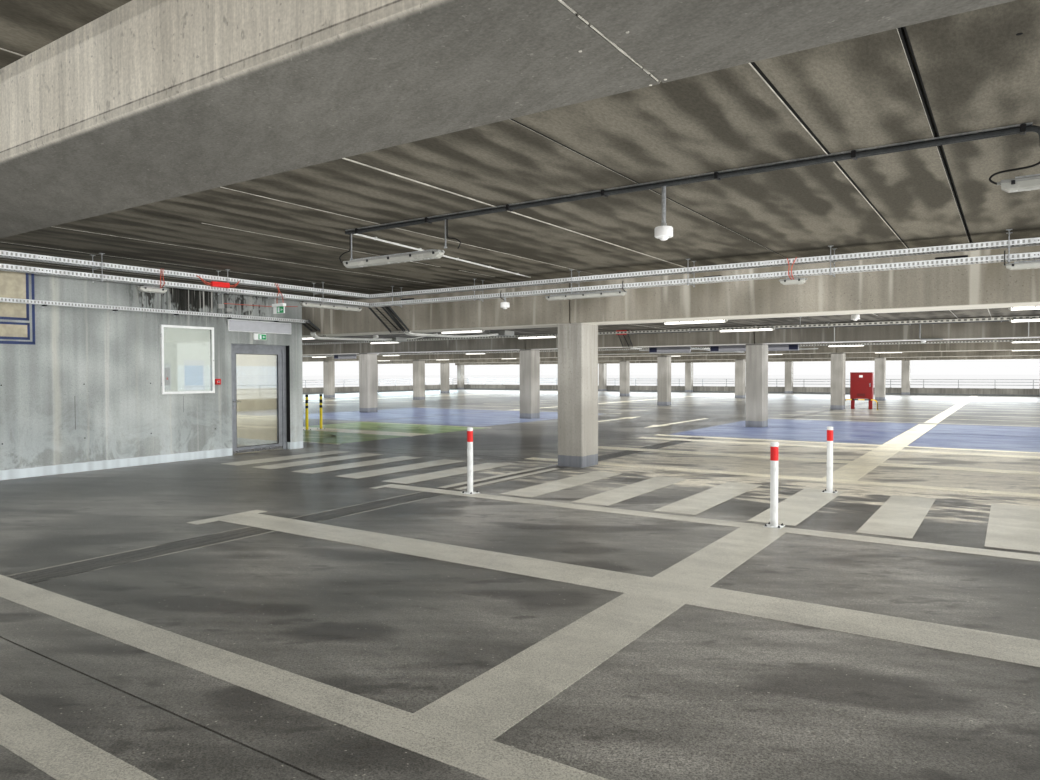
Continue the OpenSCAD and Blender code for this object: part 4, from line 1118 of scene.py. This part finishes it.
def tray_details():
    """Cables, the red junction box, wall boxes, drops and conduits round the trays of the ground storey."""
    shape = Shape()
    shape.at((0, 0, FLOOR))
    shape.box((12.142, -19.2, 2.93), (12.20, -18.9, 3.01), "red", 0.006)
    for y, way in ((-19.2, -1), (-18.9, 1)):
        for drop in (0.0, 0.03):
            path = [(12.17, y, 2.97), (12.175, y + way * 0.1, 2.99 - drop), (12.15, y + way * 0.2, 3.06)]
            shape.tube(smooth_path(path + [(12.08, y + way * 0.22, 3.08 - drop)], 4), 0.006, "cable_red")
    for path in RED_CABLES:
        shape.tube(smooth_path(path, 4), 0.0055, "cable_red")
    for x in (22.2, 17.42, 15.19):
        path = [(x, -15.86, 2.98), (x, -15.88, 2.92), (x, -15.87, 2.86), (x, -15.78, 2.83)]
        shape.tube(smooth_path(path, 4), 0.0065, "black")
    for x, y, width in ((12.9, -15.83, 0.3), (18.6, -15.70, 0.26), (21.5, -15.8, 0.34)):
        shape.box((x, y, 2.952), (x + width, y + 0.05, 2.975), "black", 0.006)
    for y0, y1, z0, z1 in ((-17.34, -17.21, 2.86, 2.95), (-17.16, -17.03, 2.81, 2.88)):
        shape.box((9.54, y0, z0), (9.60, y1, z1), "housing", 0.008)
        shape.lathe((9.57, (y0 + y1) / 2, z0 - 0.012), ((0.011, 0.0), (0.011, 0.014)), "housing", 8)
    shape.tube([(9.565, -17.2, 2.97), (9.57, -16.2, 2.985), (9.9, -15.7, 3.0)], 0.006, "cable_red")
    sloping_tray(shape, (9.60, -15.28, 2.72), (9.66, -14.86, 2.42), 0.26)
    sloping_tray(shape, (11.98, -15.58, 2.90), (12.02, -14.98, 2.42), 0.34)
    sloping_tray(shape, (12.28, -15.58, 2.90), (12.32, -15.02, 2.42), 0.10)
    for dx in (0.0, 0.05, 0.1):
        for path in CONDUITS:
            shape.tube(smooth_path([(x + dx, y, z) for x, y, z in path]), 0.027, "conduit", 10)
    shape.box((9.30, -12.5, 2.40), (9.66, -12.1, 2.50), "housing", 0.01)
    shape.tube(smooth_path([(9.5, -12.2, 2.46), (9.8, -11.9, 2.5), (10.3, -11.7, 2.6)]), 0.02, "conduit", 10)
    shape.box((12.05, -11.9, 2.48), (12.5, -11.5, 2.60), "housing", 0.01)
    runs_past_second_row(shape)
    shape.finish("ground_cables", "sensor_white")


def runs_past_second_row(shape):
    """The dark tray before the third row, its drop with a red box, and the pale run on to the fourth."""
    y, x0, x1 = -4.75, 11.9, LINE_END - 0.1
    for low in (2.82, 2.875):
        shape.box((x0, y - 0.1, low), (x1, y + 0.1, low + 0.005), "dark_channel")
    for side in (-1, 1):
        shape.box((x0, y + side * 0.1, 2.82), (x1, y + side * 0.096, 2.88), "dark_channel")
    for i in range(7):
        rod(shape, 12.3 + i * 1.95, y, 2.8, DEEP_SOFFIT)
    sloping_tray(shape, (12.0, -4.62, 2.80), (12.0, -4.27, 2.42), 0.34)
    shape.box((11.92, -4.96, 2.80), (12.24, -4.86, 2.94), "red", 0.006)
    for x0, x1, y, z in ((9.9, 13.4, 1.2, 2.5), (12.8, 16.4, 2.4, 2.47), (4.0, 11.6, 7.9, 2.56)):
        shape.tube([(x0, y, z), (x1, y, z)], 0.02, "conduit")
    drop = [(20.28, -4.24, 2.86), (20.28, -4.24, 2.5), (20.3, -4.24, 2.455), (20.8, -4.24, 2.45)]
    shape.tube(drop, 0.022, "housing", 10)
    for x in (18.2, 22.6):
        shape.tube([(x, -4.22, 2.86), (x, -4.22, 2.46)], 0.011, "conduit")
    shape.at((12.05, -3.2, FLOOR + 2.51), 1)
    for y0, y1, z1 in ((-0.08, 0.08, 0.004), (-0.08, -0.076, 0.05), (0.076, 0.08, 0.05)):
        shape.box((0, y0, 0), (10.9, y1, z1), "bright_tray")
    for y in (-0.05, -0.01, 0.03):
        shape.tube([(-0.9, y, -0.1), (-0.3, y, -0.1), (0.1, y, 0.02), (10.8, y, 0.022)], 0.017, "conduit")


DROP_RAIL = ((0.004, 0.0), (-0.004, 0.0), (-0.004, 0.05), (0.004, 0.05))


def sloping_tray(shape, top, foot, width):
    """A short perforated tray that slopes down from a tray to pass under a beam."""
    steps, half = 17, width / 2
    for side in (-half, half):
        rail = [[(x + side + a, y, z + b) for a, b in DROP_RAIL] for x, y, z in (top, foot)]
        shape.rings(rail, "dark_channel")
    for i in range(steps + 1):
        x, y, z = (a + (b - a) * i / steps for a, b in zip(top, foot))
        shape.box((x - half, y - 0.012, z - 0.002), (x + half, y + 0.012, z + 0.004), "bolt")
    path = [(top[0] + 0.02, top[1] - 0.05, top[2] + 0.03), (foot[0] + 0.02, foot[1] + 0.05, foot[2] + 0.02)]
    shape.tube(path, 0.012, "black")


for floor_number in range(STOREYS):
    service_lines(floor_number)
    trays(floor_number)
tray_details()


# Joints in the ceiling of the ground storey
def ceiling_joints():
    """Mortar, light edges and dark gaps along the joints between planks, as each joint shows them."""
    shape = Shape()
    core_x0 = CORE[0][0]
    known = {21.84: "wide", 21.14: "edge", 19.62: "open", 18.10: "filled", 15.06: "broken"}
    known |= dict.fromkeys((16.58, 13.54, 12.02, 10.50), "fine")
    joints = [FILLER_X + FILLER_W] + [FILLER_X - k * PLANK_W for k in range(30)]
    for row in range(len(ROWS) - 1):
        y0 = ROWS[row] + (WIDE_BEAM_W if row == WIDE_ROW else BEAM_W) / 2
        y1 = ROWS[row + 1] - (WIDE_BEAM_W if row + 1 == WIDE_ROW else BEAM_W) / 2
        top = FLOOR + soffit_in_bay(row)
        for x in joints:
            if row == WIDE_ROW and core_x0 - 0.1 < x < WALL_X:
                continue
            kind = random.choice(("open", "filled", "fine", "broken", "open"))
            if row == WIDE_ROW:
                kind = known.get(round(x, 2), kind)
            plank_joint(shape, x, y0, y1, top, kind)
    shape.finish("ground_ceiling_joints", "deck_concrete")


# Strips of each kind of joint: from and to across it, how far below the ceiling and above it, and material
JOINTS = {
    "wide": (
        (-0.018, -0.006, 0.001, 0.02, "shadow"),
        (0.006, 0.016, 0.001, 0.02, "shadow"),
        (-0.021, -0.018, 0.001, 0.01, "mortar"),
    ),
    "edge": ((-0.014, -0.006, 0.002, 0.02, "mortar"), (-0.006, 0.014, 0.001, 0.02, "shadow")),
    "open": ((-0.008, 0.006, 0.001, 0.02, "shadow"), (-0.011, -0.008, 0.001, 0.02, "mortar")),
    "filled": ((-0.012, 0.012, 0.003, 0.02, "mortar"),),
    "fine": ((-0.006, 0.004, 0.002, 0.02, "mortar"),),
    "broken": (),
}


def plank_joint(shape, x, y0, y1, top, kind):
    for x0, x1, below, above, key in JOINTS[kind]:
        shape.box((x + x0, y0, top - below), (x + x1, y1, top + above), key)
    y = y0
    while kind == "broken" and y < y1:
        step = random.uniform(0.15, 1.1)
        if random.random() < 0.6:
            wide = random.uniform(0.006, 0.013)
            shape.box((x - wide, y, top - 0.002), (x + wide * 0.6, min(y + step, y1), top + 0.02), "mortar")
        y += step


def soffit_details():
    """The wide beam's joint with its lifting plugs, and bolts and a hole in the ceiling."""
    shape = Shape()
    z = FLOOR + WIDE_SOFFIT
    half = WIDE_BEAM_W / 2
    y = ROWS[WIDE_ROW] - half + 0.02
    while y < ROWS[WIDE_ROW] + half - 0.06:
        step = random.uniform(0.04, 0.14)
        wide = random.uniform(0.0015, 0.004)
        shape.box((FILLER_X - wide, y, z - 0.001), (FILLER_X + wide, y + step, z + 0.05), "mortar")
        y += step + random.uniform(0.0, 0.02)
    for x, y in ((21.02, -23.66), (21.22, -23.70), (21.10, -23.24), (21.17, -23.26)):
        shape.lathe((x, y, z), ((0.006, -0.002), (0.009, 0.01)), "mortar", 12)
    for x, y in ((22.30, -21.65), (14.3, -18.2), (18.9, -22.1)):
        shape.lathe((x, y, FLOOR + PLANK_SOFFIT), ((0.014, -0.001), (0.014, 0.01)), "shadow", 12)
    shape.finish("ground_soffit_details", "concrete")


def wall_details():
    """Painted outlines on the core wall, tie holes and two cracks."""
    shape = Shape()
    shape.at((WALL_X, 0, FLOOR))
    for y0, z0, y1, z1 in (
        (-20.56, 2.09, -20.52, 3.2), (-22.6, 2.07, -20.52, 2.115), (-20.64, 2.45, -20.60, 3.2),
        (-22.6, 2.44, -20.60, 2.48), (-22.6, 2.37, -20.595, 2.405), (-20.63, 2.16, -20.595, 2.405),
        (-22.6, 2.14, -20.595, 2.18),
    ):
        shape.box((-0.004, y0, z0), (0.0015, y1, z1), "blue_line")
    for y1, z0, z1 in ((-20.64, 2.48, 3.2), (-20.63, 2.18, 2.37)):
        shape.box((-0.004, -22.6, z0), (0.0008, y1, z1), "beige")
    for y in (-22.2, -21.0, -19.8, -18.67, -17.4):
        for z in (0.55, 1.44):
            if (y, z) != (-17.4, 1.44):
                shape.lathe((-0.004, y, z), ((0.011, 0.0), (0.011, 0.005)), "shadow", 10, "x")
    for y0, y1, z0, z1 in ((-19.95, -19.944, 0.7, 1.25), (-18.05, -18.046, 0.9, 1.2)):
        shape.box((-0.004, y0, z0), (0.0006, y1, z1), "shadow")
    shape.finish("core_wall_markings", "wall_concrete")


def signs():
    """Bare sign boards with rims and screws, exit signs with plain green fields, and call points."""
    shape, points = Shape(), Shape()
    for storey in range(STOREYS + 1):
        for part in (shape, points):
            part.at((WALL_X, 0, floor_z(storey)))
        shape.box((0, -17.11, 2.44), (0.034, -15.60, 2.67), "white_metal", 0.004)
        shape.box((0.030, -17.10, 2.45), (0.037, -15.61, 2.66), "sign")
        for y in (-17.07, -16.36, -15.64):
            for z in (2.47, 2.64):
                shape.lathe((0.036, y, z), ((0.006, 0.0), (0.004, 0.003)), "steel", 10, "x")
        shape.box((0, -16.53, 2.29), (0.045, -16.24, 2.42), "white_metal", 0.006)
        exit_face(shape, 0.045, -16.53, -16.24, 2.30, 2.405, "x")
        points.box((0, -17.40, 1.40), (0.045, -17.29, 1.51), "red", 0.008)
        points.box((0.043, -17.370, 1.437), (0.050, -17.320, 1.473), "white_metal", 0.003)
        points.lathe((0.049, -17.345, 1.455), ((0.017, 0.0), (0.016, 0.004)), "bolt", 20, "x")
        for y in (-17.372, -17.318):
            points.lathe((0.049, y, 1.425), ((0.004, 0.0), (0.003, 0.002)), "steel", 10, "x")
    for storey in range(STOREYS):
        shape.at((TRAY_X, -17.99, floor_z(storey)))
        shape.box((0.02, -0.035, 2.71), (0.31, 0.035, 2.76), "white_metal", 0.008)
        shape.box((0.03, -0.008, 2.60), (0.30, 0.008, 2.715), "white_metal", 0.003)
        for side in (-1, 1):
            exit_face(shape, side * 0.008, 0.03, 0.30, 2.605, 2.71, "y", side)
        for x in (0.07, 0.26):
            shape.lathe((x, 0, 0), ((0.005, 2.76), (0.005, 2.87)), "galvanised", 8)
        shape.box((-0.1, -0.012, 2.86), (0.29, 0.012, 2.88), "galvanised", 0.002)
    shape.finish("door_signs", "sign_white", replaces=("wall_signs",))
    points.finish("call_points", "signal_red", replaces=("fire_call_points",))


def exit_face(shape, face, low, high, z0, z1, axis, side=1):
    """A green field with a plain arrow and a doorway shape, on a sign that faces along an axis."""
    middle = (z0 + z1) / 2
    third = (high - low) / 3

    def slab(a0, a1, b0, b1, key, out):
        if axis == "x":
            shape.box((face - 0.004, a0, b0), (face + out, a1, b1), key)
        else:
            shape.box((a0, face - side * 0.004, b0), (a1, face + side * out, b1), key)

    slab(low + third, high - 0.01, z0, z1, "green", 0.001)
    slab(low + third * 1.25, low + third * 1.75, z0 + 0.012, z1 - 0.012, "paper", 0.002)
    slab(low + third * 2.1, high - 0.03, middle - 0.007, middle + 0.007, "paper", 0.002)
    slab(low + third * 2.1, low + third * 2.3, middle - 0.02, middle + 0.02, "paper", 0.002)


def notice_case():
    """What shows behind the case's glass, its inner frame, hinges and lock."""
    shape = Shape()
    shape.at((WALL_X, 0, FLOOR))
    back = 0.016
    shape.box((back - 0.002, -18.445, 1.285), (back + 0.004, -17.485, 2.445), "case_back")
    for depth, y0, y1, z0, z1, key in (
        (0.006, -18.435, -18.30, 1.31, 1.80, "paper"),
        (0.007, -18.435, -18.32, 1.40, 1.72, "sign"),
        (0.008, -18.385, -18.355, 1.50, 1.545, "red"),
        (0.006, -18.04, -17.63, 1.30, 1.86, "paper"),
        (0.007, -18.03, -17.66, 1.39, 1.76, "blue_paper"),
    ):
        shape.box((back, y0, z0), (back + depth, y1, z1), key)
    for y in (-18.37, -17.94, -17.74):
        for z in (1.795, 1.85):
            shape.lathe((back + 0.005, y, z), ((0.006, 0.0), (0.005, 0.004)), "steel", 8, "x")
    for (y0, z0), (y1, z1) in border(-18.49, -17.44, 1.24, 2.49, 0.037):
        shape.box((0.045, y0, z0), (0.062, y1, z1), "white_metal", 0.004)
    shape.box((back, -17.50, 1.285), (0.036, -17.485, 2.445), "bolt")
    shape.lathe((0.060, -17.458, 1.86), ((0.010, 0.0), (0.009, 0.005)), "steel", 16, "x")
    for z in (1.385, 2.265):
        shape.lathe((0.052, -18.494, z), ((0.006, 0.0), (0.006, 0.07)), "steel", 10)
    shape.finish("notice_case_fittings", "white_metal")


def border(y0, y1, z0, z1, width):
    """The four bars of a rectangular rim inside the given outline."""
    yield (y0, z0), (y0 + width, z1)
    yield (y1 - width, z0), (y1, z1)
    yield (y0 + width, z0), (y1 - width, z0 + width)
    yield (y0 + width, z1 - width), (y1 - width, z1)


def door_details(storey):
    """Glazing beads, handle plates, lock and kick rail of a leaf, and the seals of its frame."""
    leaf, rim = Shape(), Shape()
    floor = floor_z(storey)
    leaf.at((0, 0, floor))
    y0, y1 = LEAF_Y[0] + STILE, LEAF_Y[1] - STILE
    z0, z1 = LEAF_GAP + STILE, LEAF_GAP + LEAF_H - STILE
    middle, bead = LEAF_Y[0] + STILE / 2, 0.022
    front = FRAME_X[0] + LEAF_T
    for x, way in ((front, 1), (FRAME_X[0], -1)):
        for (ya, za), (yb, zb) in border(y0, y1, z0, z1, bead):
            leaf.box((x - way * 0.012, ya, za), (x + way * 0.003, yb, zb), "aluminium", 0.002)
        for (ya, za), (yb, zb) in border(y0 + bead, y1 - bead, z0 + bead, z1 - bead, 0.008):
            leaf.box((x - way * 0.013, ya, za), (x - way * 0.001, yb, zb), "black")
        leaf.at((x, middle, floor + HANDLE_Z))
        leaf.box((0, -0.016, -0.15), (way * 0.005, 0.016, 0.05), "steel", 0.002)
        leaf.lathe((min(0, way * 0.010), 0, -0.085), ((0.0125, 0.0), (0.0125, 0.010)), "steel", 20, "x")
        leaf.box((way * 0.0095, -0.0015, -0.092), (way * 0.0115, 0.0015, -0.078), "black")
        leaf.at((0, 0, floor))
    leaf.at((front, LEAF_Y[0], floor))
    leaf.box((-0.002, 0.004, LEAF_GAP + 0.005), (0.0025, LEAF_Y[1] - LEAF_Y[0] - 0.004, 0.075), "steel")
    rim.at((FRAME_X[1], 0, floor))
    y0, y1 = DOOR_Y[0] + 0.002, DOOR_Y[1] - 0.002
    top = DOOR_H - 0.002
    for y, way in ((y0, 1), (y1, -1)):
        rim.box((-0.002, y, 0.001), (0.004, y + way * 0.03, DOOR_H - 0.03), "aluminium", 0.002)
        rim.box((0.002, y - way * 0.002, 0.001), (0.010, y + way * 0.006, top), "black")
    rim.box((-0.002, y0 + 0.03, DOOR_H - 0.03), (0.004, y1 - 0.03, top), "aluminium", 0.002)
    return leaf, rim


def door_fittings():
    """The ground leaf's own parts move with it."""
    for storey in range(STOREYS + 1):
        leaf, rim = door_details(storey)
        name = f"door_{storey}" if storey else "ground"
        leaf.finish(name + "_leaf_fittings", "door_aluminium", "car_park" if storey else "ground_door")
        rim.finish(name + "_frame_fittings", "door_aluminium")


def bollards():
    """White posts with a red band and a domed cap, and yellow and black ones, bolted to the floor."""
    shape = Shape()
    height, radius = 0.88, 0.039
    red_low, red_high = 0.69, 0.835
    foot = (0, 0, 0)
    for x, y in ((16.27, -18.13), (20.24, -18.12), (20.27, -15.47)):
        base_plate(shape, x, y)
        shape.lathe(foot, ((radius, 0.006), (radius, red_low)), "bollard", 32)
        shape.lathe(foot, ((radius + 0.001, red_low), (radius + 0.001, red_high)), "red", 32)
        cap = ((radius, red_high), (radius, height - 0.02), (radius + 0.002, height - 0.018))
        top = ((radius + 0.002, height - 0.008), (0.030, height), (0.012, height + 0.003))
        shape.lathe(foot, cap + top, "bollard", 32)
    bands = (0.0, 0.62, 0.70, 0.76, 0.86, 0.94, 1.0)
    for x, y in ((5.62, -11.87), (5.66, -11.39)):
        base_plate(shape, x, y)
        for key, low, high in zip(("yellow", "black") * 3, bands, bands[1:]):
            shape.lathe(foot, ((radius, low + 0.004), (radius, high + 0.004)), key, 32)
        shape.lathe(foot, ((radius, 1.004), (0.030, 1.012), (0.012, 1.015)), "black", 32)
    shape.finish("posts", "bollard_paint", replaces=("bollards",))


def base_plate(shape, x, y):
    """A bolted plate at (x, y), where what follows is built too."""
    shape.at((x, y, FLOOR))
    shape.box((-0.09, -0.09, 0), (0.09, 0.09, 0.008), "bollard", 0.002)
    shape.lathe((0, 0, 0), ((0.047, 0.007), (0.0405, 0.014)), "bollard", 24)
    for i in (-1, 1):
        for j in (-1, 1):
            place = (i * 0.066, j * 0.066, 0)
            shape.lathe(place, ((0.015, 0.007), (0.015, 0.011)), "bolt", 16)
            shape.lathe(place, ((0.011, 0.010), (0.011, 0.021)), "bolt", 6)
            shape.lathe(place, ((0.005, 0.020), (0.005, 0.030)), "bolt", 10)


def cabinets():
    """Doors, hinges, handles, vents and feet of the red cabinets, and the hoops' foot plates."""
    shape = Shape()
    width, depth = 0.89, 0.30
    for storey in range(STOREYS):
        shape.at((16.37, 9.0, floor_z(storey)))
        shape.box((0.03, -0.016, 0.49), (width - 0.03, 0.002, 1.55), "cabinet", 0.006)
        shape.box((-0.008, -0.012, 1.585), (width + 0.008, depth + 0.008, 1.605), "cabinet", 0.004)
        for z in (0.62, 1.0, 1.38):
            shape.lathe((0.026, -0.014, z), ((0.010, 0.0), (0.010, 0.09)), "cabinet", 12)
        shape.box((width - 0.11, -0.022, 0.98), (width - 0.07, -0.014, 1.14), "steel", 0.003)
        shape.box((width - 0.10, -0.047, 1.03), (width - 0.08, -0.020, 1.05), "steel", 0.003)
        shape.box((width - 0.10, -0.050, 0.99), (width - 0.08, -0.042, 1.09), "steel", 0.003)
        shape.box((0.36, -0.018, 1.38), (0.50, -0.014, 1.48), "white_metal")
        for i in range(6):
            low = 0.56 + i * 0.022
            shape.box((0.28, -0.0175, low), (0.61, -0.014, low + 0.009), "bolt")
        for x in (0.09, width - 0.09):
            shape.box((x - 0.07, 0.08, 0.006), (x + 0.07, 0.22, 0.49), "cabinet", 0.006)
            shape.box((x - 0.06, 0.09, 0), (x + 0.06, 0.21, 0.008), "cabinet", 0.002)
            for i in (-1, 1):
                shape.lathe((x + i * 0.045, 0.15, 0), ((0.009, 0.007), (0.009, 0.018)), "bolt", 6)
        for x in (width / 2 - 0.685, width / 2 + 0.685):
            shape.lathe((x, -0.25, 0), ((0.06, 0.0), (0.06, 0.008), (0.027, 0.012)), "yellow", 20)
            for i in range(4):
                turn = math.pi * (0.25 + i / 2)
                place = (x + 0.043 * math.cos(turn), 0.043 * math.sin(turn) - 0.25, 0)
                shape.lathe(place, ((0.007, 0.007), (0.007, 0.016)), "bolt", 6)
    shape.finish("cabinet_fittings", "cabinet_red")


def rail_plates(storey):
    """A bolted foot plate under every rail post."""
    z = floor_z(storey) + UPSTAND_H
    shape = Shape()
    sides = []
    for k in range(6):
        ends = 0.5 if k in (0, 5) else 0.0
        shift = -ends / 2 if k == 0 else ends / 2
        middle = (COLUMN_LINES[k] + COLUMN_LINES[k + 1]) / 2 + shift
        sides.append((middle, EDGE_Y, 2, 8.0 + ends))
        if not (storey == 0 and k == 4):
            sides.append((middle, -EDGE_Y, 0, 8.0 + ends))
    for r in range(6):
        ends = 0.3 if r in (0, 5) else 0.0
        shift = -ends / 2 if r == 0 else ends / 2
        middle = (ROWS[r] + ROWS[r + 1]) / 2 + shift
        span = ROWS[r + 1] - ROWS[r] + ends
        sides += [(EDGE_X, middle, 1, span), (-EDGE_X, middle, 3, span)]
    plate, bolt_step = 0.06, 0.042
    for x, y, turn, span in sides:
        shape.at((x, y, z), turn)
        long = span - 0.04
        posts = round(long / 2.0)
        for i in range(posts):
            u, v = (i + 0.5) * long / posts - long / 2, UPSTAND_T / 2
            shape.box((u - plate, v - plate, 0), (u + plate, v + plate, 0.012), "bolt", 0.003)
            for a, b in itertools.product((-bolt_step, bolt_step), repeat=2):
                shape.lathe((u + a, v + b, 0.011), ((0.009, 0.0), (0.009, 0.011)), "steel", 6)
    shape.finish(LEVEL_NAMES[storey] + "_rail_plates", "galvanised_steel")


def guidance_signs():
    """Bare light boxes with one dark field, hung across the lanes past the third row of columns."""
    shape = Shape()
    boxes = ((11.75, 13.23, 11.77), (13.93, 15.3, 13.95), (15.6, 16.75, 16.46), (-4.1, -2.7, -4.08))
    for storey in range(STOREYS):
        shape.at((0, -2.0, floor_z(storey)))
        for x0, x1, dark in boxes:
            shape.box((x0, -0.05, 2.29), (x1, 0.05, 2.50), "sign_box", 0.008)
            shape.box((dark, -0.053, 2.32), (dark + 0.27, -0.045, 2.47), "navy")
            for x in (x0 + 0.2, x1 - 0.2):
                rod(shape, x, 0, 2.50, DEEP_SOFFIT)
    shape.finish("guidance_signs", "sign_white")


ceiling_joints()
soffit_details()
wall_details()
signs()
notice_case()
door_fittings()
bollards()
cabinets()
for floor_number in range(STOREYS + 1):
    rail_plates(floor_number)
guidance_signs()


# Camera, light and stage
camera_data = bpy.data.cameras.new("camera")
camera_data.lens = 25.57
camera_data.sensor_width = 36.0
camera_data.sensor_fit = "HORIZONTAL"
camera_data.clip_start = 0.02
camera_data.clip_end = 1000.0
camera = bpy.data.objects.new("camera", camera_data)
camera.location = [c * SCALE for c in (22.29, -25.95, 1.90)]
camera.rotation_euler = (math.radians(88.709), math.radians(0.154), math.radians(33.698))
bpy.context.scene.collection.objects.link(camera)
bpy.context.scene.camera = camera


def lamp_panel(name, centre, size, aim, radiance, colour=(1, 1, 1), spread=180.0, in_gloss=False):
    """A soft panel of light that the camera doesn't see; one in gloss shows in reflections alone."""
    data = bpy.data.lights.new(name, "AREA")
    data.shape = "RECTANGLE"
    data.size = size[0] * SCALE
    data.size_y = size[1] * SCALE
    data.energy = radiance * math.pi * data.size * data.size_y
    data.color = colour
    data.spread = math.radians(spread)
    lamp = bpy.data.objects.new(name, data)
    lamp.visible_glossy = in_gloss
    lamp.visible_diffuse = not in_gloss
    lamp.location = [c * SCALE for c in centre]
    lamp.rotation_euler = Vector(aim).to_track_quat("-Z", "Y").to_euler()
    lamp.visible_camera = False
    lamp.visible_transmission = False
    bpy.context.scene.collection.objects.link(lamp)


DAY_HEIGHT = 1.8
DAY_SPREAD = 80.0
# Radiance of the open sides of each storey: right, left, back, front
DAYLIGHT = ((3.2, 3.0, 3.2, 0.3), (2.0, 1.8, 1.8, 1.8), (2.0, 1.8, 1.8, 1.8))
HIGH = 3.15
LOW = 2.42
# Centre, size, height, and radiance of the panels that shine down and up
GROUND_FILL = (
    (20.5, -26.0, 8.0, 14.0, HIGH, 0.28, 0.62),
    (13.0, -26.0, 11.0, 14.0, HIGH, 1.05, 0.08),
    (20.5, -14.0, 8.0, 10.0, HIGH, 1.85, 0.62),
    (12.0, -14.0, 9.0, 10.0, HIGH, 0.95, 0.14),
    (-8.0, -21.0, 31.0, 24.0, HIGH, 0.9, 0.14),
    (0.0, 12.0, 48.0, 42.0, LOW, 1.75, 0.5),
)
UPPER_FILL = ((0.0, 0.0, 48.0, 65.0, LOW, 0.7, 0.5),)
for storey in range(STOREYS):
    floor = floor_z(storey)
    z = floor + (UPSTAND_H + BEAM_SOFFIT) / 2
    sides = (
        ("right", (EDGE_X - 0.2, 0, z), 65.0, (-1, 0, 0)),
        ("left", (0.2 - EDGE_X, 0, z), 65.0, (1, 0, 0)),
        ("back", (0, EDGE_Y - 0.2, z), 48.0, (0, -1, 0)),
        ("front", (0, 0.2 - EDGE_Y, z), 48.0, (0, 1, 0)),
    )
    for (side, centre, length, aim), radiance in zip(sides, DAYLIGHT[storey]):
        lamp_panel(f"day_{side}_{storey}", centre, (length, DAY_HEIGHT), aim, radiance, spread=DAY_SPREAD)
    for n, (x, y, width, length, height, down, up) in enumerate(UPPER_FILL if storey else GROUND_FILL):
        lamp_panel(f"down_{storey}_{n}", (x, y, floor + height), (width, length), (0, 0, -1), down)
        lamp_panel(f"up_{storey}_{n}", (x, y, floor + 0.06), (width, length), (0, 0, 1), up)
sky = (0.86, 0.94, 1.0)
for way, sheen, tone in ((-1, 0.4, (0.2, 0.5, 1.0)), (1, 13.0, (0.7, 0.9, 1.0))):
    place = (way * (0.3 - EDGE_X), 0, FLOOR + 1.46)
    lamp_panel(f"sky_x_{way}", place, (65.0, 0.98), (way, 0, 0), sheen, tone, in_gloss=True)
for way, sheen in ((-1, 7.5), (1, 2.0)):
    place = (0, way * (0.3 - EDGE_Y), FLOOR + 1.7)
    lamp_panel(f"sky_y_{way}", place, (48.0, 1.46), (0, way, 0), sheen, sky, in_gloss=True)
lamp_panel("core_light", (6.2, -19.2, FLOOR + 3.1), (4.0, 5.0), (0, 0, -1), 1.9, (1.0, 0.97, 0.9))

world = bpy.data.worlds.new("world")
bpy.context.scene.world = world
world.use_nodes = True
background = world.node_tree.nodes["Background"]
background.inputs["Color"].default_value = (1, 1, 1, 1)
background.inputs["Strength"].default_value = 1.0


def make_stage():
    g = Graph("stage_floor")
    path = g.add("ShaderNodeLightPath").outputs
    seen = g.math("MAXIMUM", path["Is Camera Ray"], path["Is Glossy Ray"])
    seen = g.math("MAXIMUM", seen, path["Is Transmission Ray"])
    diffuse = g.add("ShaderNodeBsdfDiffuse", Color=rgb(240, 240, 240))
    glow = g.add("ShaderNodeEmission", Color=(1, 1, 1, 1), Strength=1.0)
    mixed = g.add("ShaderNodeMixShader")
    g.feed(mixed.inputs[0], g.times(seen, 0.6))
    g.feed(mixed.inputs[1], diffuse.outputs[0])
    g.feed(mixed.inputs[2], glow.outputs[0])
    g.tree.links.new(mixed.outputs[0], g.output.inputs[0])
    g.material.cycles.emission_sampling = "NONE"
    mesh = bpy.data.meshes.new("stage_floor")
    half, z = 300.0, -0.002
    corners = [(-half, -half, z), (half, -half, z), (half, half, z), (-half, half, z)]
    mesh.from_pydata(corners, [], [(0, 1, 2, 3)])
    mesh.materials.append(g.material)
    floor = bpy.data.objects.new("stage_floor", mesh)
    bpy.context.scene.collection.objects.link(floor)


make_stage()
bpy.context.scene.view_settings.view_transform = "Standard"
